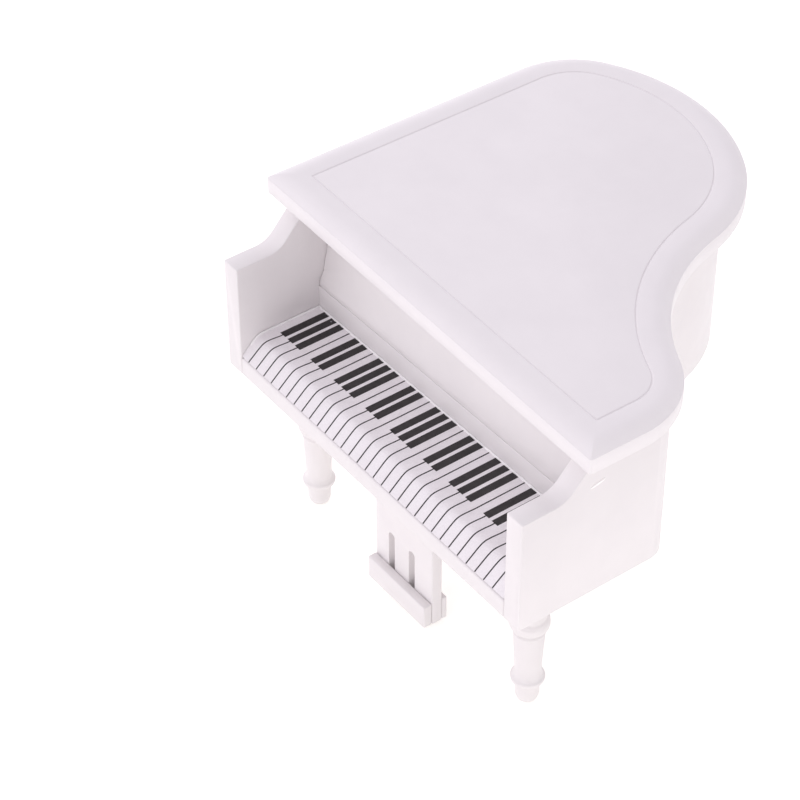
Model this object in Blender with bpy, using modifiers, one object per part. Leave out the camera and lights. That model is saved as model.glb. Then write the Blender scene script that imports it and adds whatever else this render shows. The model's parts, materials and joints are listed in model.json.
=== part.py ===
"""Miniature (dolls' house) grand piano, white lacquered wood, keyboard facing -Y, treble side +X.

Lengths are metres.  The origin is on the floor under the middle of the piano, +Z is up.
Heights named *_Z are above the underside of the case; depths named *_Y are behind the
front edge of the cheeks.  at_y() and at_z() turn them into world coordinates.
"""
import bpy
import bmesh
from math import acos, atan2, cos, pi, radians, sin
from mathutils import Matrix, Vector

# ---- driving dimensions -----------------------------------------------------------------
MM = 0.001
GAP = 0.3 * MM                    # clearance between neighbouring pieces

DEPTH = 137.8 * MM                # cheek fronts to the tail of the lid
CASE_WIDTH = 133.0 * MM
LID_OVERHANG = 5.3 * MM
LEG_LENGTH = 51.1 * MM            # floor to the underside of the case
RIM_HEIGHT = 49.3 * MM            # underside of the case to the top of its walls
BOARD = 6.4 * MM                  # thickness of the straight side boards and cheeks
BENT_WALL = 4.6 * MM              # thickness of the bent rim
FLOOR_BOARD = 4.0 * MM            # height of the bottom board's upper face
FLOOR_BOARD_RAISE = 0.4 * MM      # its lower face is this far up between the walls

# Plan of the lid: straight spine, three fair arcs round the tail, hollow bentside, corner.
SPINE_END_Y = 107.2 * MM
LID_FRONT_Y = 17.7 * MM
TAIL_ARCS = ((25.9 * MM, 58.4), (58.2 * MM, 63.3), (46.6 * MM, 45.4))
BENTSIDE_RADIUS = 57.8 * MM
LID_CORNER_RADIUS = 27.0 * MM
CASE_LAST_TAIL_ARC = 46.5         # degrees; the case turns a tighter treble corner than the lid
CASE_CORNER_RADIUS = 9.0 * MM
ARC_STEP = 7.0                    # degrees between outline points

LID_BOTTOM_Z = RIM_HEIGHT + GAP
LID_EDGE = 4.0 * MM               # height of the lid's upright edge
LID_SHOULDER = ((0.0, 0.0), (0.5, 1.2), (1.5, 2.2), (3.0, 2.8), (4.6, 3.0))   # mm in, mm up

# Cheek scroll
CHEEK_Z = 37.7 * MM
SCROLL_START_Y = 10.5 * MM
SCROLL_END_Y = 28.0 * MM
SCROLL_SLOPE = 48.0               # degrees at the steepest place

# Keys
SLIP_Z = 6.0 * MM
SLIP_THICK = 3.8 * MM
KEY_TOP_Z = 11.7 * MM
KEY_BACK_Y = 28.0 * MM
PRINT_THICK = 0.3 * MM
NOSE = ((0.4, 6.3), (2.3, 8.2), (4.5, 10.1), (6.3, 11.2), (8.6, 11.62), (11.0, 11.7))  # mm y, z

# Fallboard, hinged on pins in the cheeks
FALL_AXIS_Y = 30.2 * MM
FALL_AXIS_Z = 21.4 * MM
FALL_KNUCKLE = 1.9 * MM           # radius of the rounded lower edge
FALL_LENGTH = 27.4 * MM
FALL_THICK = 3.4 * MM
FALL_LEAN = 10.0                  # degrees back from upright when open
FALL_PIN_RADIUS = 0.8 * MM

RISER_THICK = 3.6 * MM
STRETCHER_Y = 36.9 * MM
STRETCHER_THICK = 4.4 * MM

# Inside
SOUNDBOARD_Z = 14.0 * MM
SOUNDBOARD_THICK = 2.0 * MM
CARD_INSET = 4.0 * MM

# Lid hinges, on the spine side
HINGE_YS = (46.0 * MM, 94.0 * MM)
HINGE_LENGTH = 10.0 * MM
KNUCKLE_RADIUS = 1.2 * MM
LEAF = 0.5 * MM
LEAF_HEIGHT = 7.0 * MM
HINGE_PIN_RADIUS = 0.45 * MM
KNUCKLE_SEAT = 0.1 * MM           # from a leaf's mounting face to its knuckles
HINGE_X = -CASE_WIDTH / 2 - GAP - KNUCKLE_SEAT - KNUCKLE_RADIUS
HINGE_Z = LID_BOTTOM_Z - GAP - KNUCKLE_SEAT - KNUCKLE_RADIUS
LID_OPEN = 35.0                   # degrees, held by the prop stick

# Prop stick, pivoted behind the stretcher, turning 2.2 times as far as the lid
PROP_RATIO = 2.2
PROP_X = -6.0 * MM
PROP_Z = 43.4 * MM
PROP_WIDTH = 2.5 * MM
PROP_THICK = 2.0 * MM
PROP_SCREW_RADIUS = 0.6 * MM

# Legs
FRONT_LEG = (49.4 * MM, 18.2 * MM)
TAIL_LEG = (-20.0 * MM, 112.0 * MM)
DOWEL_RADIUS = 2.0 * MM
DOWEL_IN_LEG = 7.0 * MM
LEG_PROFILE = (                   # mm radius, mm below the case
    (5.0, 0.3), (5.5, 0.8), (5.5, 3.4), (4.9, 4.2), (4.5, 6.0), (4.5, 16.0), (4.7, 18.0),
    (5.3, 19.4), (5.6, 20.6), (5.6, 21.8), (5.1, 23.2), (4.4, 23.9), (4.6, 24.6), (4.3, 25.6),
    (4.2, 31.0), (3.9, 39.4), (4.5, 40.4), (4.9, 41.7), (4.6, 43.0), (3.5, 44.6), (3.5, 46.2),
    (3.3, 46.8), (3.3, 49.2), (2.6, 50.8), (2.0, 51.1))

# Pedal lyre
LYRE_WIDTH = 26.6 * MM
LYRE_Y = 12.7 * MM
LYRE_THICK = 3.5 * MM
LYRE_BOTTOM_Z = -49.4 * MM
SLOT_XS = (-5.7 * MM, 3.7 * MM)
SLOT_WIDTH = 2.8 * MM
SLOT_TOP_Z = -28.2 * MM
SLOT_BOTTOM_Z = -46.6 * MM
BAR_TOP_Z = -41.3 * MM
FRONT_BAR_THICK = 2.6 * MM
REAR_BAR_THICK = 1.5 * MM

# Colours: base colour, roughness, metallic
LACQUER = ((0.86, 0.84, 0.85), 0.38, 0.0)
PAPER = ((0.83, 0.81, 0.83), 0.62, 0.0)
RAW_WOOD = ((0.62, 0.47, 0.30), 0.75, 0.0)
SPRUCE = ((0.72, 0.56, 0.34), 0.6, 0.0)
GOLD_CARD = ((0.66, 0.48, 0.18), 0.4, 0.5)
BRASS = ((0.72, 0.53, 0.24), 0.3, 1.0)

HALF = CASE_WIDTH / 2
INNER = HALF - BOARD


# ---- helpers ----------------------------------------------------------------------------
def at_y(depth):
    return depth - DEPTH / 2


def at_z(height):
    return height + LEG_LENGTH


def empty_scene():
    for obj in list(bpy.data.objects):
        bpy.data.objects.remove(obj, do_unlink=True)


def make_collections():
    found = []
    for name in ("miniature_grand_piano", "cutters"):
        collection = bpy.data.collections.new(name)
        bpy.context.scene.collection.children.link(collection)
        found.append(collection)
    return found


def material(name, finish):
    colour, roughness, metallic = finish
    mat = bpy.data.materials.new(name)
    mat.use_nodes = True
    shader = mat.node_tree.nodes["Principled BSDF"]
    shader.inputs["Base Color"].default_value = (*colour, 1.0)
    shader.inputs["Roughness"].default_value = roughness
    shader.inputs["Metallic"].default_value = metallic
    mat.diffuse_color = (*colour, 1.0)
    return mat


def add_mesh(name, bm, finish=None):
    """Make an object of a bmesh; without a finish it is a cutter."""
    bmesh.ops.recalc_face_normals(bm, faces=bm.faces)
    mesh = bpy.data.meshes.new(name)
    bm.to_mesh(mesh)
    bm.free()
    obj = bpy.data.objects.new(name, mesh)
    if finish:
        PARTS.objects.link(obj)
        mesh.materials.append(material(name, finish))
    else:
        CUTTERS.objects.link(obj)
        obj.hide_render = True
        obj.display_type = "WIRE"
    return obj


def box(name, low, high, finish=None):
    bm = bmesh.new()
    bmesh.ops.create_cube(bm, size=1.0)
    size = Vector(high) - Vector(low)
    centre = (Vector(high) + Vector(low)) / 2
    bmesh.ops.transform(bm, matrix=Matrix.Translation(centre) @ Matrix.Diagonal((*size, 1)), verts=bm.verts)
    return add_mesh(name, bm, finish)


def rod_mesh(bm, start, end, radius, sides):
    """Add a closed cylinder between two points to a bmesh."""
    along = Vector(end) - Vector(start)
    turn = along.to_track_quat("Z", "Y").to_matrix().to_4x4()
    place = Matrix.Translation((Vector(start) + Vector(end)) / 2) @ turn
    bmesh.ops.create_cone(bm, cap_ends=True, segments=sides, radius1=radius, radius2=radius,
                          depth=along.length, matrix=place)


def rod(name, start, end, radius, finish=None, sides=20):
    bm = bmesh.new()
    rod_mesh(bm, start, end, radius, sides)
    return add_mesh(name, bm, finish)


def turned(name, profile, place, along, steps, finish):
    """Sweep a profile of (radius, height), top to bottom, round an axis through place."""
    mesh = bpy.data.meshes.new(name)
    edges = [(k, k + 1) for k in range(len(profile) - 1)]
    mesh.from_pydata([(r, 0, z) for r, z in profile], edges, [])
    mesh.materials.append(material(name, finish))
    obj = bpy.data.objects.new(name, mesh)
    obj.location = place
    obj.rotation_euler = along.to_track_quat("Z", "Y").to_euler()
    PARTS.objects.link(obj)
    screw = obj.modifiers.new("Screw", "SCREW")
    screw.axis = "Z"
    screw.angle = 2 * pi
    screw.steps = steps
    screw.render_steps = steps
    screw.use_merge_vertices = True
    screw.merge_threshold = 0.00001
    screw.use_smooth_shade = True
    return obj


def plan_slab(name, points, low, high, finish=None):
    """A flat outline in plan (world x, y), filled and given a thickness from low to high."""
    return extruded(name, points, high - low, Matrix.Translation((0, 0, (low + high) / 2)), finish)


def side_slab(name, points, low, high, finish=None):
    """A flat outline in side view (world y, z) with a width from x=low to x=high."""
    turn = Matrix(((0, 0, 1, 0), (1, 0, 0, 0), (0, 1, 0, 0), (0, 0, 0, 1)))
    return extruded(name, points, high - low, Matrix.Translation(((low + high) / 2, 0, 0)) @ turn, finish)


def front_slab(name, points, low, high, finish=None):
    """A flat outline in front view (world x, z) with a depth from y=low to y=high."""
    turn = Matrix(((1, 0, 0, 0), (0, 0, -1, 0), (0, 1, 0, 0), (0, 0, 0, 1)))
    return extruded(name, points, high - low, Matrix.Translation((0, (low + high) / 2, 0)) @ turn, finish)


def extruded(name, points, thickness, matrix, finish):
    curve = bpy.data.curves.new(name, "CURVE")
    curve.dimensions = "2D"
    curve.fill_mode = "BOTH"
    curve.extrude = thickness / 2
    spline = curve.splines.new("POLY")
    spline.points.add(len(points) - 1)
    for point, (u, v) in zip(spline.points, points):
        point.co = (u, v, 0, 1)
    spline.use_cyclic_u = True
    guide = bpy.data.objects.new(name + "_outline", curve)
    bpy.context.scene.collection.objects.link(guide)
    evaluated = guide.evaluated_get(bpy.context.evaluated_depsgraph_get())
    mesh = bpy.data.meshes.new_from_object(evaluated)
    bm = bmesh.new()
    bm.from_mesh(mesh)
    bmesh.ops.remove_doubles(bm, verts=bm.verts, dist=0.00001)
    bmesh.ops.transform(bm, matrix=matrix, verts=bm.verts)
    bpy.data.objects.remove(guide, do_unlink=True)
    bpy.data.meshes.remove(mesh)
    bpy.data.curves.remove(curve)
    return add_mesh(name, bm, finish)


def boolean(obj, other, operation):
    modifier = obj.modifiers.new(operation.title(), "BOOLEAN")
    modifier.operation = operation
    modifier.solver = "EXACT"
    modifier.object = other


def cut(obj, cutter):
    boolean(obj, cutter, "DIFFERENCE")


def join(obj, other):
    boolean(obj, other, "UNION")


def soften(obj, width, segments=2, angle=40.0):
    """Round the sharp edges, before any hole is cut."""
    modifier = obj.modifiers.new("Bevel", "BEVEL")
    modifier.width = width
    modifier.segments = segments
    modifier.limit_method = "ANGLE"
    modifier.angle_limit = radians(angle)


def smooth(obj, angle=35.0):
    obj.data.shade_smooth()
    obj.data.set_sharp_from_angle(angle=radians(angle))


def ride_on(obj, pivot):
    """Parent an object to a joint's empty and leave it where it is."""
    bpy.context.view_layer.update()
    obj.parent = pivot
    obj.matrix_parent_inverse = pivot.matrix_world.inverted()


def empty(name, place):
    pivot = bpy.data.objects.new(name, None)
    pivot.location = place
    pivot.empty_display_size = 0.01
    PARTS.objects.link(pivot)
    return pivot


def arc(centre, radius, start, end, step=ARC_STEP):
    """Points along an arc, angles in degrees."""
    count = max(1, round(abs(end - start) / step))
    angles = [radians(start + (end - start) * k / count) for k in range(count + 1)]
    return [(centre[0] + radius * cos(a), centre[1] + radius * sin(a)) for a in angles]


# ---- plan shape -------------------------------------------------------------------------
def treble_curve(half_width, tail_arcs, hollow, corner, inset):
    """Spine end, round the tail, along the bentside to the treble corner.

    The spine heads straight back; each tail arc turns right; the hollow arc turns left and
    the corner arc right again, ending parallel to the spine at x = half_width.  An inset
    shrinks the right-hand arcs and grows the hollow one, which keeps the wall even.
    """
    x, y = -half_width, SPINE_END_Y
    heading = 90.0
    points = []
    for radius, turn in tail_arcs:
        cx = x + radius * sin(radians(heading))
        cy = y - radius * cos(radians(heading))
        points += arc((cx, cy), radius - inset, heading + 90, heading + 90 - turn)
        heading -= turn
        x = cx + radius * cos(radians(heading + 90))
        y = cy + radius * sin(radians(heading + 90))
    hx = x - hollow * sin(radians(heading))
    hy = y + hollow * cos(radians(heading))
    meet = -acos((half_width - corner - hx) / (hollow + corner)) * 180 / pi
    kx = hx + (hollow + corner) * cos(radians(meet))
    ky = hy + (hollow + corner) * sin(radians(meet))
    points += arc((hx, hy), hollow + inset, heading - 90, meet)
    points += arc((kx, ky), corner - inset, meet + 180, 0)
    return [(px, at_y(py)) for px, py in without_repeats(points)]


def without_repeats(points, limit=0.2 * MM):
    kept = []
    for point in points:
        if not kept or (Vector(point) - Vector(kept[-1])).length > limit:
            kept.append(point)
    return kept


def lid_outline(inset=0.0):
    half = HALF + LID_OVERHANG
    curve = treble_curve(half, TAIL_ARCS, BENTSIDE_RADIUS, LID_CORNER_RADIUS, inset)
    front = at_y(LID_FRONT_Y) + inset
    return [(-half + inset, front)] + curve + [(half - inset, front)]


def case_curve(inset=0.0):
    tail = [(radius - LID_OVERHANG, turn) for radius, turn in TAIL_ARCS[:2]]
    tail.append((TAIL_ARCS[2][0] - LID_OVERHANG, CASE_LAST_TAIL_ARC))
    return treble_curve(HALF, tail, BENTSIDE_RADIUS + LID_OVERHANG, CASE_CORNER_RADIUS, inset)


def scroll_profile(back_y):
    """Side view of a cheek and side board: flat arm, ogee up to the rim, straight to back_y."""
    rise = RIM_HEIGHT - CHEEK_Z
    run = SCROLL_END_Y - SCROLL_START_Y
    steep = radians(SCROLL_SLOPE)
    # Two equal arcs with a straight between them, all tangent
    radius = (run * sin(steep) - rise * cos(steep)) / (2 * (1 - cos(steep)))
    low = arc((SCROLL_START_Y, CHEEK_Z + radius), radius, -90, -90 + SCROLL_SLOPE, 12)
    high = arc((SCROLL_END_Y, RIM_HEIGHT - radius), radius, 90 + SCROLL_SLOPE, 90, 12)
    shape = [(0, 0), (0, CHEEK_Z)] + low + high + [(back_y, RIM_HEIGHT), (back_y, 0)]
    return [(at_y(y), at_z(z)) for y, z in shape]


# ---- case -------------------------------------------------------------------------------
def fall_pin_hole(side):
    """Cutter for the fallboard pin's hole in a cheek, and in the end of the fallboard."""
    place = (side * INNER, at_y(FALL_AXIS_Y), at_z(FALL_AXIS_Z))
    reach = Vector((side * 3.4 * MM, 0, 0))
    start = Vector(place) - Vector((side * 6.0 * MM, 0, 0))
    name = "fall_pin_hole_" + ("right" if side > 0 else "left")
    return rod(name, start, Vector(place) + reach, FALL_PIN_RADIUS + GAP, sides=16)


def side_boards():
    """Straight side boards; each has its cheek's scroll at the front."""
    treble_end = min(y for x, y in case_curve() if x > HALF - 0.01 * MM) + DEPTH / 2
    left = side_slab("left_side", scroll_profile(SPINE_END_Y), -HALF, -INNER, LACQUER)
    right = side_slab("right_side", scroll_profile(treble_end - GAP), INNER, HALF, LACQUER)
    for board, side in ((left, -1), (right, 1)):
        soften(board, 0.6 * MM)
        cut(board, FALL_HOLES[side])
        smooth(board)
    return left, right


def curved_rim():
    """Bent wall from the end of the spine board round the tail to the treble corner."""
    outer = case_curve()
    inner = case_curve(BENT_WALL)
    start = at_y(SPINE_END_Y) + GAP
    outer[0] = (outer[0][0], start)
    inner[0] = (inner[0][0], start)
    rim = plan_slab("curved_rim", outer + inner[::-1], at_z(0), at_z(RIM_HEIGHT), LACQUER)
    soften(rim, 0.5 * MM, 1, 60)
    smooth(rim)
    return rim


def between_sides(curve, limit):
    """The stretch of a plan curve with x between -limit and +limit, ended on those lines."""
    kept = []
    for (x0, y0), (x1, y1) in zip(curve, curve[1:]):
        for edge in (-limit, limit):
            if x0 < edge <= x1:
                kept.append((edge, y0 + (y1 - y0) * (edge - x0) / (x1 - x0)))
        if -limit < x1 < limit:
            kept.append((x1, y1))
    return without_repeats(kept)


def inside_outline(front_y, inset):
    """Plan of the space inside the walls, from front_y back; inset from the side boards."""
    side = INNER - inset
    back = between_sides(case_curve(BENT_WALL + inset), side)
    return [(-side, at_y(front_y))] + back + [(side, at_y(front_y))]


def bottom_board():
    outline = inside_outline(SLIP_THICK + GAP, GAP)
    return plan_slab("bottom_board", outline, at_z(FLOOR_BOARD_RAISE), at_z(FLOOR_BOARD), LACQUER)


def front_slip():
    slip = box("front_slip", (-INNER + GAP, at_y(0), at_z(0)), (INNER - GAP, at_y(SLIP_THICK), at_z(SLIP_Z)),
               LACQUER)
    soften(slip, 0.4 * MM)
    smooth(slip)


def key_profile(drop):
    """Points (y, z) along the keys' nose and flat top, lowered square to the surface by drop."""
    line = [(y * MM, z * MM) for y, z in NOSE] + [(KEY_BACK_Y, KEY_TOP_Z)]
    moved = []
    for k, (y, z) in enumerate(line):
        ahead = line[min(k + 1, len(line) - 1)]
        behind = line[max(k - 1, 0)]
        slope = atan2(ahead[1] - behind[1], ahead[0] - behind[0])
        moved.append((y + drop * sin(slope), z - drop * cos(slope)))
    return moved


def key_block():
    top = key_profile(PRINT_THICK + GAP)
    shape = [(SLIP_THICK + GAP, FLOOR_BOARD + GAP), (SLIP_THICK + GAP, SLIP_Z + GAP),
             (top[0][0], SLIP_Z + GAP)]
    shape += [p for p in top if p[1] > SLIP_Z + 2 * GAP]
    shape.append((KEY_BACK_Y, FLOOR_BOARD + GAP))
    points = [(at_y(y), at_z(z)) for y, z in shape]
    return side_slab("key_block", points, -INNER + GAP, INNER - GAP, LACQUER)


def key_print():
    """The printed paper keyboard, glued over the block."""
    shape = key_profile(0.0) + key_profile(PRINT_THICK)[::-1]
    points = [(at_y(y), at_z(z)) for y, z in shape]
    side_slab("key_print", points, -INNER + GAP, INNER - GAP, PAPER)


def key_riser():
    """Fixed strip behind the keys; the closed fallboard comes down on its top."""
    top = FALL_AXIS_Z - FALL_THICK / 2 - 2 * GAP
    riser = box("key_riser", (-INNER + GAP, at_y(KEY_BACK_Y + GAP), at_z(FLOOR_BOARD + GAP)),
                (INNER - GAP, at_y(KEY_BACK_Y + GAP + RISER_THICK), at_z(top - GAP)), LACQUER)
    return riser


def stretcher():
    """Cross board between the fallboard and the strings."""
    return box("stretcher", (-INNER + GAP, at_y(STRETCHER_Y), at_z(FLOOR_BOARD + GAP)),
               (INNER - GAP, at_y(STRETCHER_Y + STRETCHER_THICK), at_z(RIM_HEIGHT - 0.5 * MM)), LACQUER)


# ---- fallboard --------------------------------------------------------------------------
def fallboard():
    """Key cover: a board with a rounded lower edge, leaning back on the stretcher when open."""
    half = FALL_THICK / 2
    tilt = 90.0 + FALL_LEAN
    knuckle = arc((0, 0), FALL_KNUCKLE, 180, 360, 15)
    outline = [(half, 3.0 * MM)]
    outline += [(half, FALL_LENGTH - 1.2 * MM), (half - 1.2 * MM, FALL_LENGTH)]
    outline += [(-half + 1.2 * MM, FALL_LENGTH), (-half, FALL_LENGTH - 1.2 * MM), (-half, 3.0 * MM)]
    outline += knuckle
    turn = radians(tilt - 90.0)
    points = [(at_y(FALL_AXIS_Y) + y * cos(turn) + z * sin(turn), at_z(FALL_AXIS_Z) - y * sin(turn) + z * cos(turn))
              for y, z in outline]
    board = side_slab("fallboard", points, -INNER + 1.2 * GAP, INNER - 1.2 * GAP, LACQUER)
    pivot = empty("fallboard_axis", (0, at_y(FALL_AXIS_Y), at_z(FALL_AXIS_Z)))
    ride_on(board, pivot)
    for side, word in ((-1, "left"), (1, "right")):
        cut(board, FALL_HOLES[side])
        middle = Vector((side * INNER, at_y(FALL_AXIS_Y), at_z(FALL_AXIS_Z)))
        reach = Vector((side * MM, 0, 0))
        pin = rod("fallboard_pin_" + word, middle - 5.4 * reach, middle + 2.9 * reach, FALL_PIN_RADIUS, BRASS, 16)
        smooth(pin)
        ride_on(pin, pivot)
    smooth(board)


# ---- lid and its hinges -----------------------------------------------------------------
def lid():
    """Slab with an upright edge and a soft shoulder, lofted through shrinking outlines."""
    rings = [(0.0, 0.0)] + [(inset * MM, LID_EDGE + rise * MM) for inset, rise in LID_SHOULDER]
    bm = bmesh.new()
    loops = []
    for inset, rise in rings:
        outline = lid_outline(inset)
        loops.append([bm.verts.new((x, y, at_z(LID_BOTTOM_Z) + rise)) for x, y in outline])
    count = min(len(loop) for loop in loops)
    for lower, upper in zip(loops, loops[1:]):
        for k in range(count):
            nxt = (k + 1) % count
            bm.faces.new((lower[k], lower[nxt], upper[nxt], upper[k]))
    bm.faces.new(loops[0][::-1])
    bm.faces.new(loops[-1])
    bmesh.ops.triangulate(bm, faces=[f for f in bm.faces if len(f.verts) > 4])
    obj = add_mesh("lid", bm, LACQUER)
    smooth(obj)
    return obj


def leaf_and_knuckles(name, plate, spans, finish):
    """A hinge leaf: a thin plate joined to one or more knuckle tubes bored for the pin."""
    leaf = box(name, plate[0], plate[1], finish)
    for k, (start, end) in enumerate(spans):
        tube = rod(f"{name}_knuckle_{k}", (HINGE_X, start, at_z(HINGE_Z)), (HINGE_X, end, at_z(HINGE_Z)),
                   KNUCKLE_RADIUS)
        join(leaf, tube)
    return leaf


def small_screw(name, place, along):
    """Round-headed wood screw, its head's underside at place."""
    profile = [(0.55, 0.0), (0.5, 0.45), (0.2, 0.8), (0.0, 0.85), (0.0, 0.35), (-2.2, 0.35), (-2.6, 0.0)]
    return turned(name, [(r * MM, z * MM) for z, r in profile], place, along, 10, BRASS)


def hinge(word, middle_y, side_board, lid_board, pivot):
    """Brass butt hinge: case leaf with two knuckles, lid leaf with one, pin, four screws."""
    front = at_y(middle_y) - HINGE_LENGTH / 2
    third = HINGE_LENGTH / 3
    wall = -HALF - GAP
    case_plate = ((wall - LEAF, front, at_z(HINGE_Z - LEAF_HEIGHT)), (wall, front + HINGE_LENGTH, at_z(HINGE_Z)))
    case_spans = ((front, front + third - GAP / 2), (front + 2 * third + GAP / 2, front + HINGE_LENGTH))
    case_leaf = leaf_and_knuckles(f"hinge_{word}_case_leaf", case_plate, case_spans, BRASS)
    top = at_z(LID_BOTTOM_Z) - GAP
    lid_plate = ((HINGE_X - 3.3 * MM, front, top - LEAF), (HINGE_X, front + HINGE_LENGTH, top))
    lid_span = ((front + third + GAP / 2, front + 2 * third - GAP / 2),)
    lid_leaf = leaf_and_knuckles(f"hinge_{word}_lid_leaf", lid_plate, lid_span, BRASS)
    # Notches that let each leaf pass the other's knuckles
    reach = KNUCKLE_RADIUS + GAP
    for leaf, spans, tag in ((case_leaf, lid_span, "case"), (lid_leaf, case_spans, "lid")):
        for k, (start, end) in enumerate(spans):
            room = rod(f"hinge_{word}_{tag}_notch_{k}", (HINGE_X, start - GAP, at_z(HINGE_Z)),
                       (HINGE_X, end + GAP, at_z(HINGE_Z)), reach)
            cut(leaf, room)
    bore = rod(f"hinge_{word}_bore", (HINGE_X, front - MM, at_z(HINGE_Z)),
               (HINGE_X, front + HINGE_LENGTH + MM, at_z(HINGE_Z)), HINGE_PIN_RADIUS + GAP, sides=12)
    cut(case_leaf, bore)
    cut(lid_leaf, bore)
    pin = rod(f"hinge_{word}_pin", (HINGE_X, front - 0.4 * MM, at_z(HINGE_Z)),
              (HINGE_X, front + HINGE_LENGTH + 0.4 * MM, at_z(HINGE_Z)), HINGE_PIN_RADIUS, BRASS, 12)
    smooth(pin)
    case_places = [(wall - LEAF - 0.1 * MM, front + HINGE_LENGTH * f, at_z(HINGE_Z - LEAF_HEIGHT + 1.8 * MM))
                   for f in (0.22, 0.78)]
    lid_places = [(HINGE_X - 2.2 * MM, front + HINGE_LENGTH * f, top - LEAF - 0.1 * MM) for f in (0.18, 0.82)]
    for places, along, pair in ((case_places, Vector((-1, 0, 0)), (case_leaf, side_board)),
                                (lid_places, Vector((0, 0, -1)), (lid_leaf, lid_board))):
        for k, place in enumerate(places):
            start = Vector(place) + along * MM
            tag = pair[0].name
            hole = rod(f"{tag}_screw_hole_{k}", start, Vector(place) - along * 3.2 * MM, 0.62 * MM, sides=12)
            for piece in pair:
                cut(piece, hole)
            screw = small_screw(f"{tag}_screw_{k + 1}", place, along)
            if pair[0] is lid_leaf:
                ride_on(screw, pivot)
    ride_on(lid_leaf, pivot)


def lid_and_hinges(left_board):
    pivot = empty("lid_axis", (HINGE_X, 0, at_z(HINGE_Z)))
    board = lid()
    for word, middle in zip(("front", "rear"), HINGE_YS):
        hinge(word, middle, left_board, board, pivot)
    ride_on(board, pivot)


# ---- prop stick -------------------------------------------------------------------------
def prop_length():
    """Pivot to tip centre, so that the rounded tip just meets the lid when both are fully up."""
    lid_angle = radians(LID_OPEN)
    stick_angle = lid_angle * PROP_RATIO
    out = PROP_X - HINGE_X
    up = PROP_Z - HINGE_Z
    below_lid = PROP_WIDTH / 2 + GAP - (LID_BOTTOM_Z - HINGE_Z)
    return (out * sin(lid_angle) - up * cos(lid_angle) - below_lid) / sin(stick_angle - lid_angle)


def prop_stick(cross_board):
    length = prop_length()
    front = at_y(STRETCHER_Y + STRETCHER_THICK) + GAP
    half = PROP_WIDTH / 2
    centre = (PROP_X, at_z(PROP_Z))
    tip = (PROP_X + length, at_z(PROP_Z))
    outline = arc(centre, half, 90, 270, 20) + arc(tip, half, -90, 90, 20)
    stick = front_slab("prop_stick", outline, front, front + PROP_THICK, LACQUER)
    hole = rod("prop_hole", (PROP_X, front - 3.4 * MM, at_z(PROP_Z)), (PROP_X, front + 5 * MM, at_z(PROP_Z)),
               PROP_SCREW_RADIUS + GAP, sides=14)
    cut(stick, hole)
    cut(cross_board, hole)
    pivot = empty("prop_axis", (PROP_X, 0, at_z(PROP_Z)))
    smooth(stick)
    ride_on(stick, pivot)
    # The screw that the stick turns on
    under_head = Vector((PROP_X, front + PROP_THICK + GAP, at_z(PROP_Z)))
    profile = [(0.0, 0.8 * MM), (0.9 * MM, 0.7 * MM), (1.5 * MM, 0.3 * MM), (1.5 * MM, 0.0),
               (PROP_SCREW_RADIUS, 0.0), (PROP_SCREW_RADIUS, -5.3 * MM), (0.0, -5.3 * MM)]
    turned("prop_screw", profile, under_head, Vector((0, 1, 0)), 14, BRASS)
    # Peg that the lowered stick rests on
    peg_x = PROP_X + length - 4 * MM
    peg_z = at_z(PROP_Z) - half - GAP - 0.9 * MM
    peg = rod("prop_rest_peg", (peg_x, front - 3.0 * MM, peg_z), (peg_x, front + PROP_THICK, peg_z),
              0.9 * MM, BRASS, 12)
    smooth(peg)
    cut(cross_board, rod("peg_hole", (peg_x, front - 3.4 * MM, peg_z), (peg_x, front + MM, peg_z),
                         0.9 * MM + GAP, sides=12))


# ---- inside -----------------------------------------------------------------------------
def interior():
    behind = STRETCHER_Y + STRETCHER_THICK + GAP
    plan_slab("soundboard", inside_outline(behind, GAP), at_z(SOUNDBOARD_Z),
              at_z(SOUNDBOARD_Z + SOUNDBOARD_THICK), SPRUCE)
    low = SOUNDBOARD_Z + SOUNDBOARD_THICK + GAP
    plan_slab("harp_card", inside_outline(behind + MM, CARD_INSET), at_z(low),
              at_z(low + PRINT_THICK), GOLD_CARD)
    # Strips that carry the soundboard
    strips = (("liner_spine", (-INNER + GAP, behind + 4 * MM), (-INNER + 6 * MM, SPINE_END_Y - 6 * MM)),
              ("liner_tail", (-40 * MM, 119.5 * MM), (-14 * MM, 123.5 * MM)),
              ("liner_treble", (36.0 * MM, behind + MM), (INNER - 3 * MM, behind + 5 * MM)))
    for name, low_corner, high_corner in strips:
        box(name, (low_corner[0], at_y(low_corner[1]), at_z(FLOOR_BOARD + GAP)),
            (high_corner[0], at_y(high_corner[1]), at_z(SOUNDBOARD_Z - GAP)), RAW_WOOD)


# ---- legs -------------------------------------------------------------------------------
def leg(name, x, y):
    """Turned leg, standing on the floor."""
    profile = [(0.0, LEG_PROFILE[0][1])] + list(LEG_PROFILE) + [(0.0, LEG_PROFILE[-1][1])]
    points = [(r * MM, -z * MM) for r, z in profile]
    return turned(name, points, (x, at_y(y), at_z(0)), Vector((0, 0, 1)), 20, LACQUER)


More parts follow.
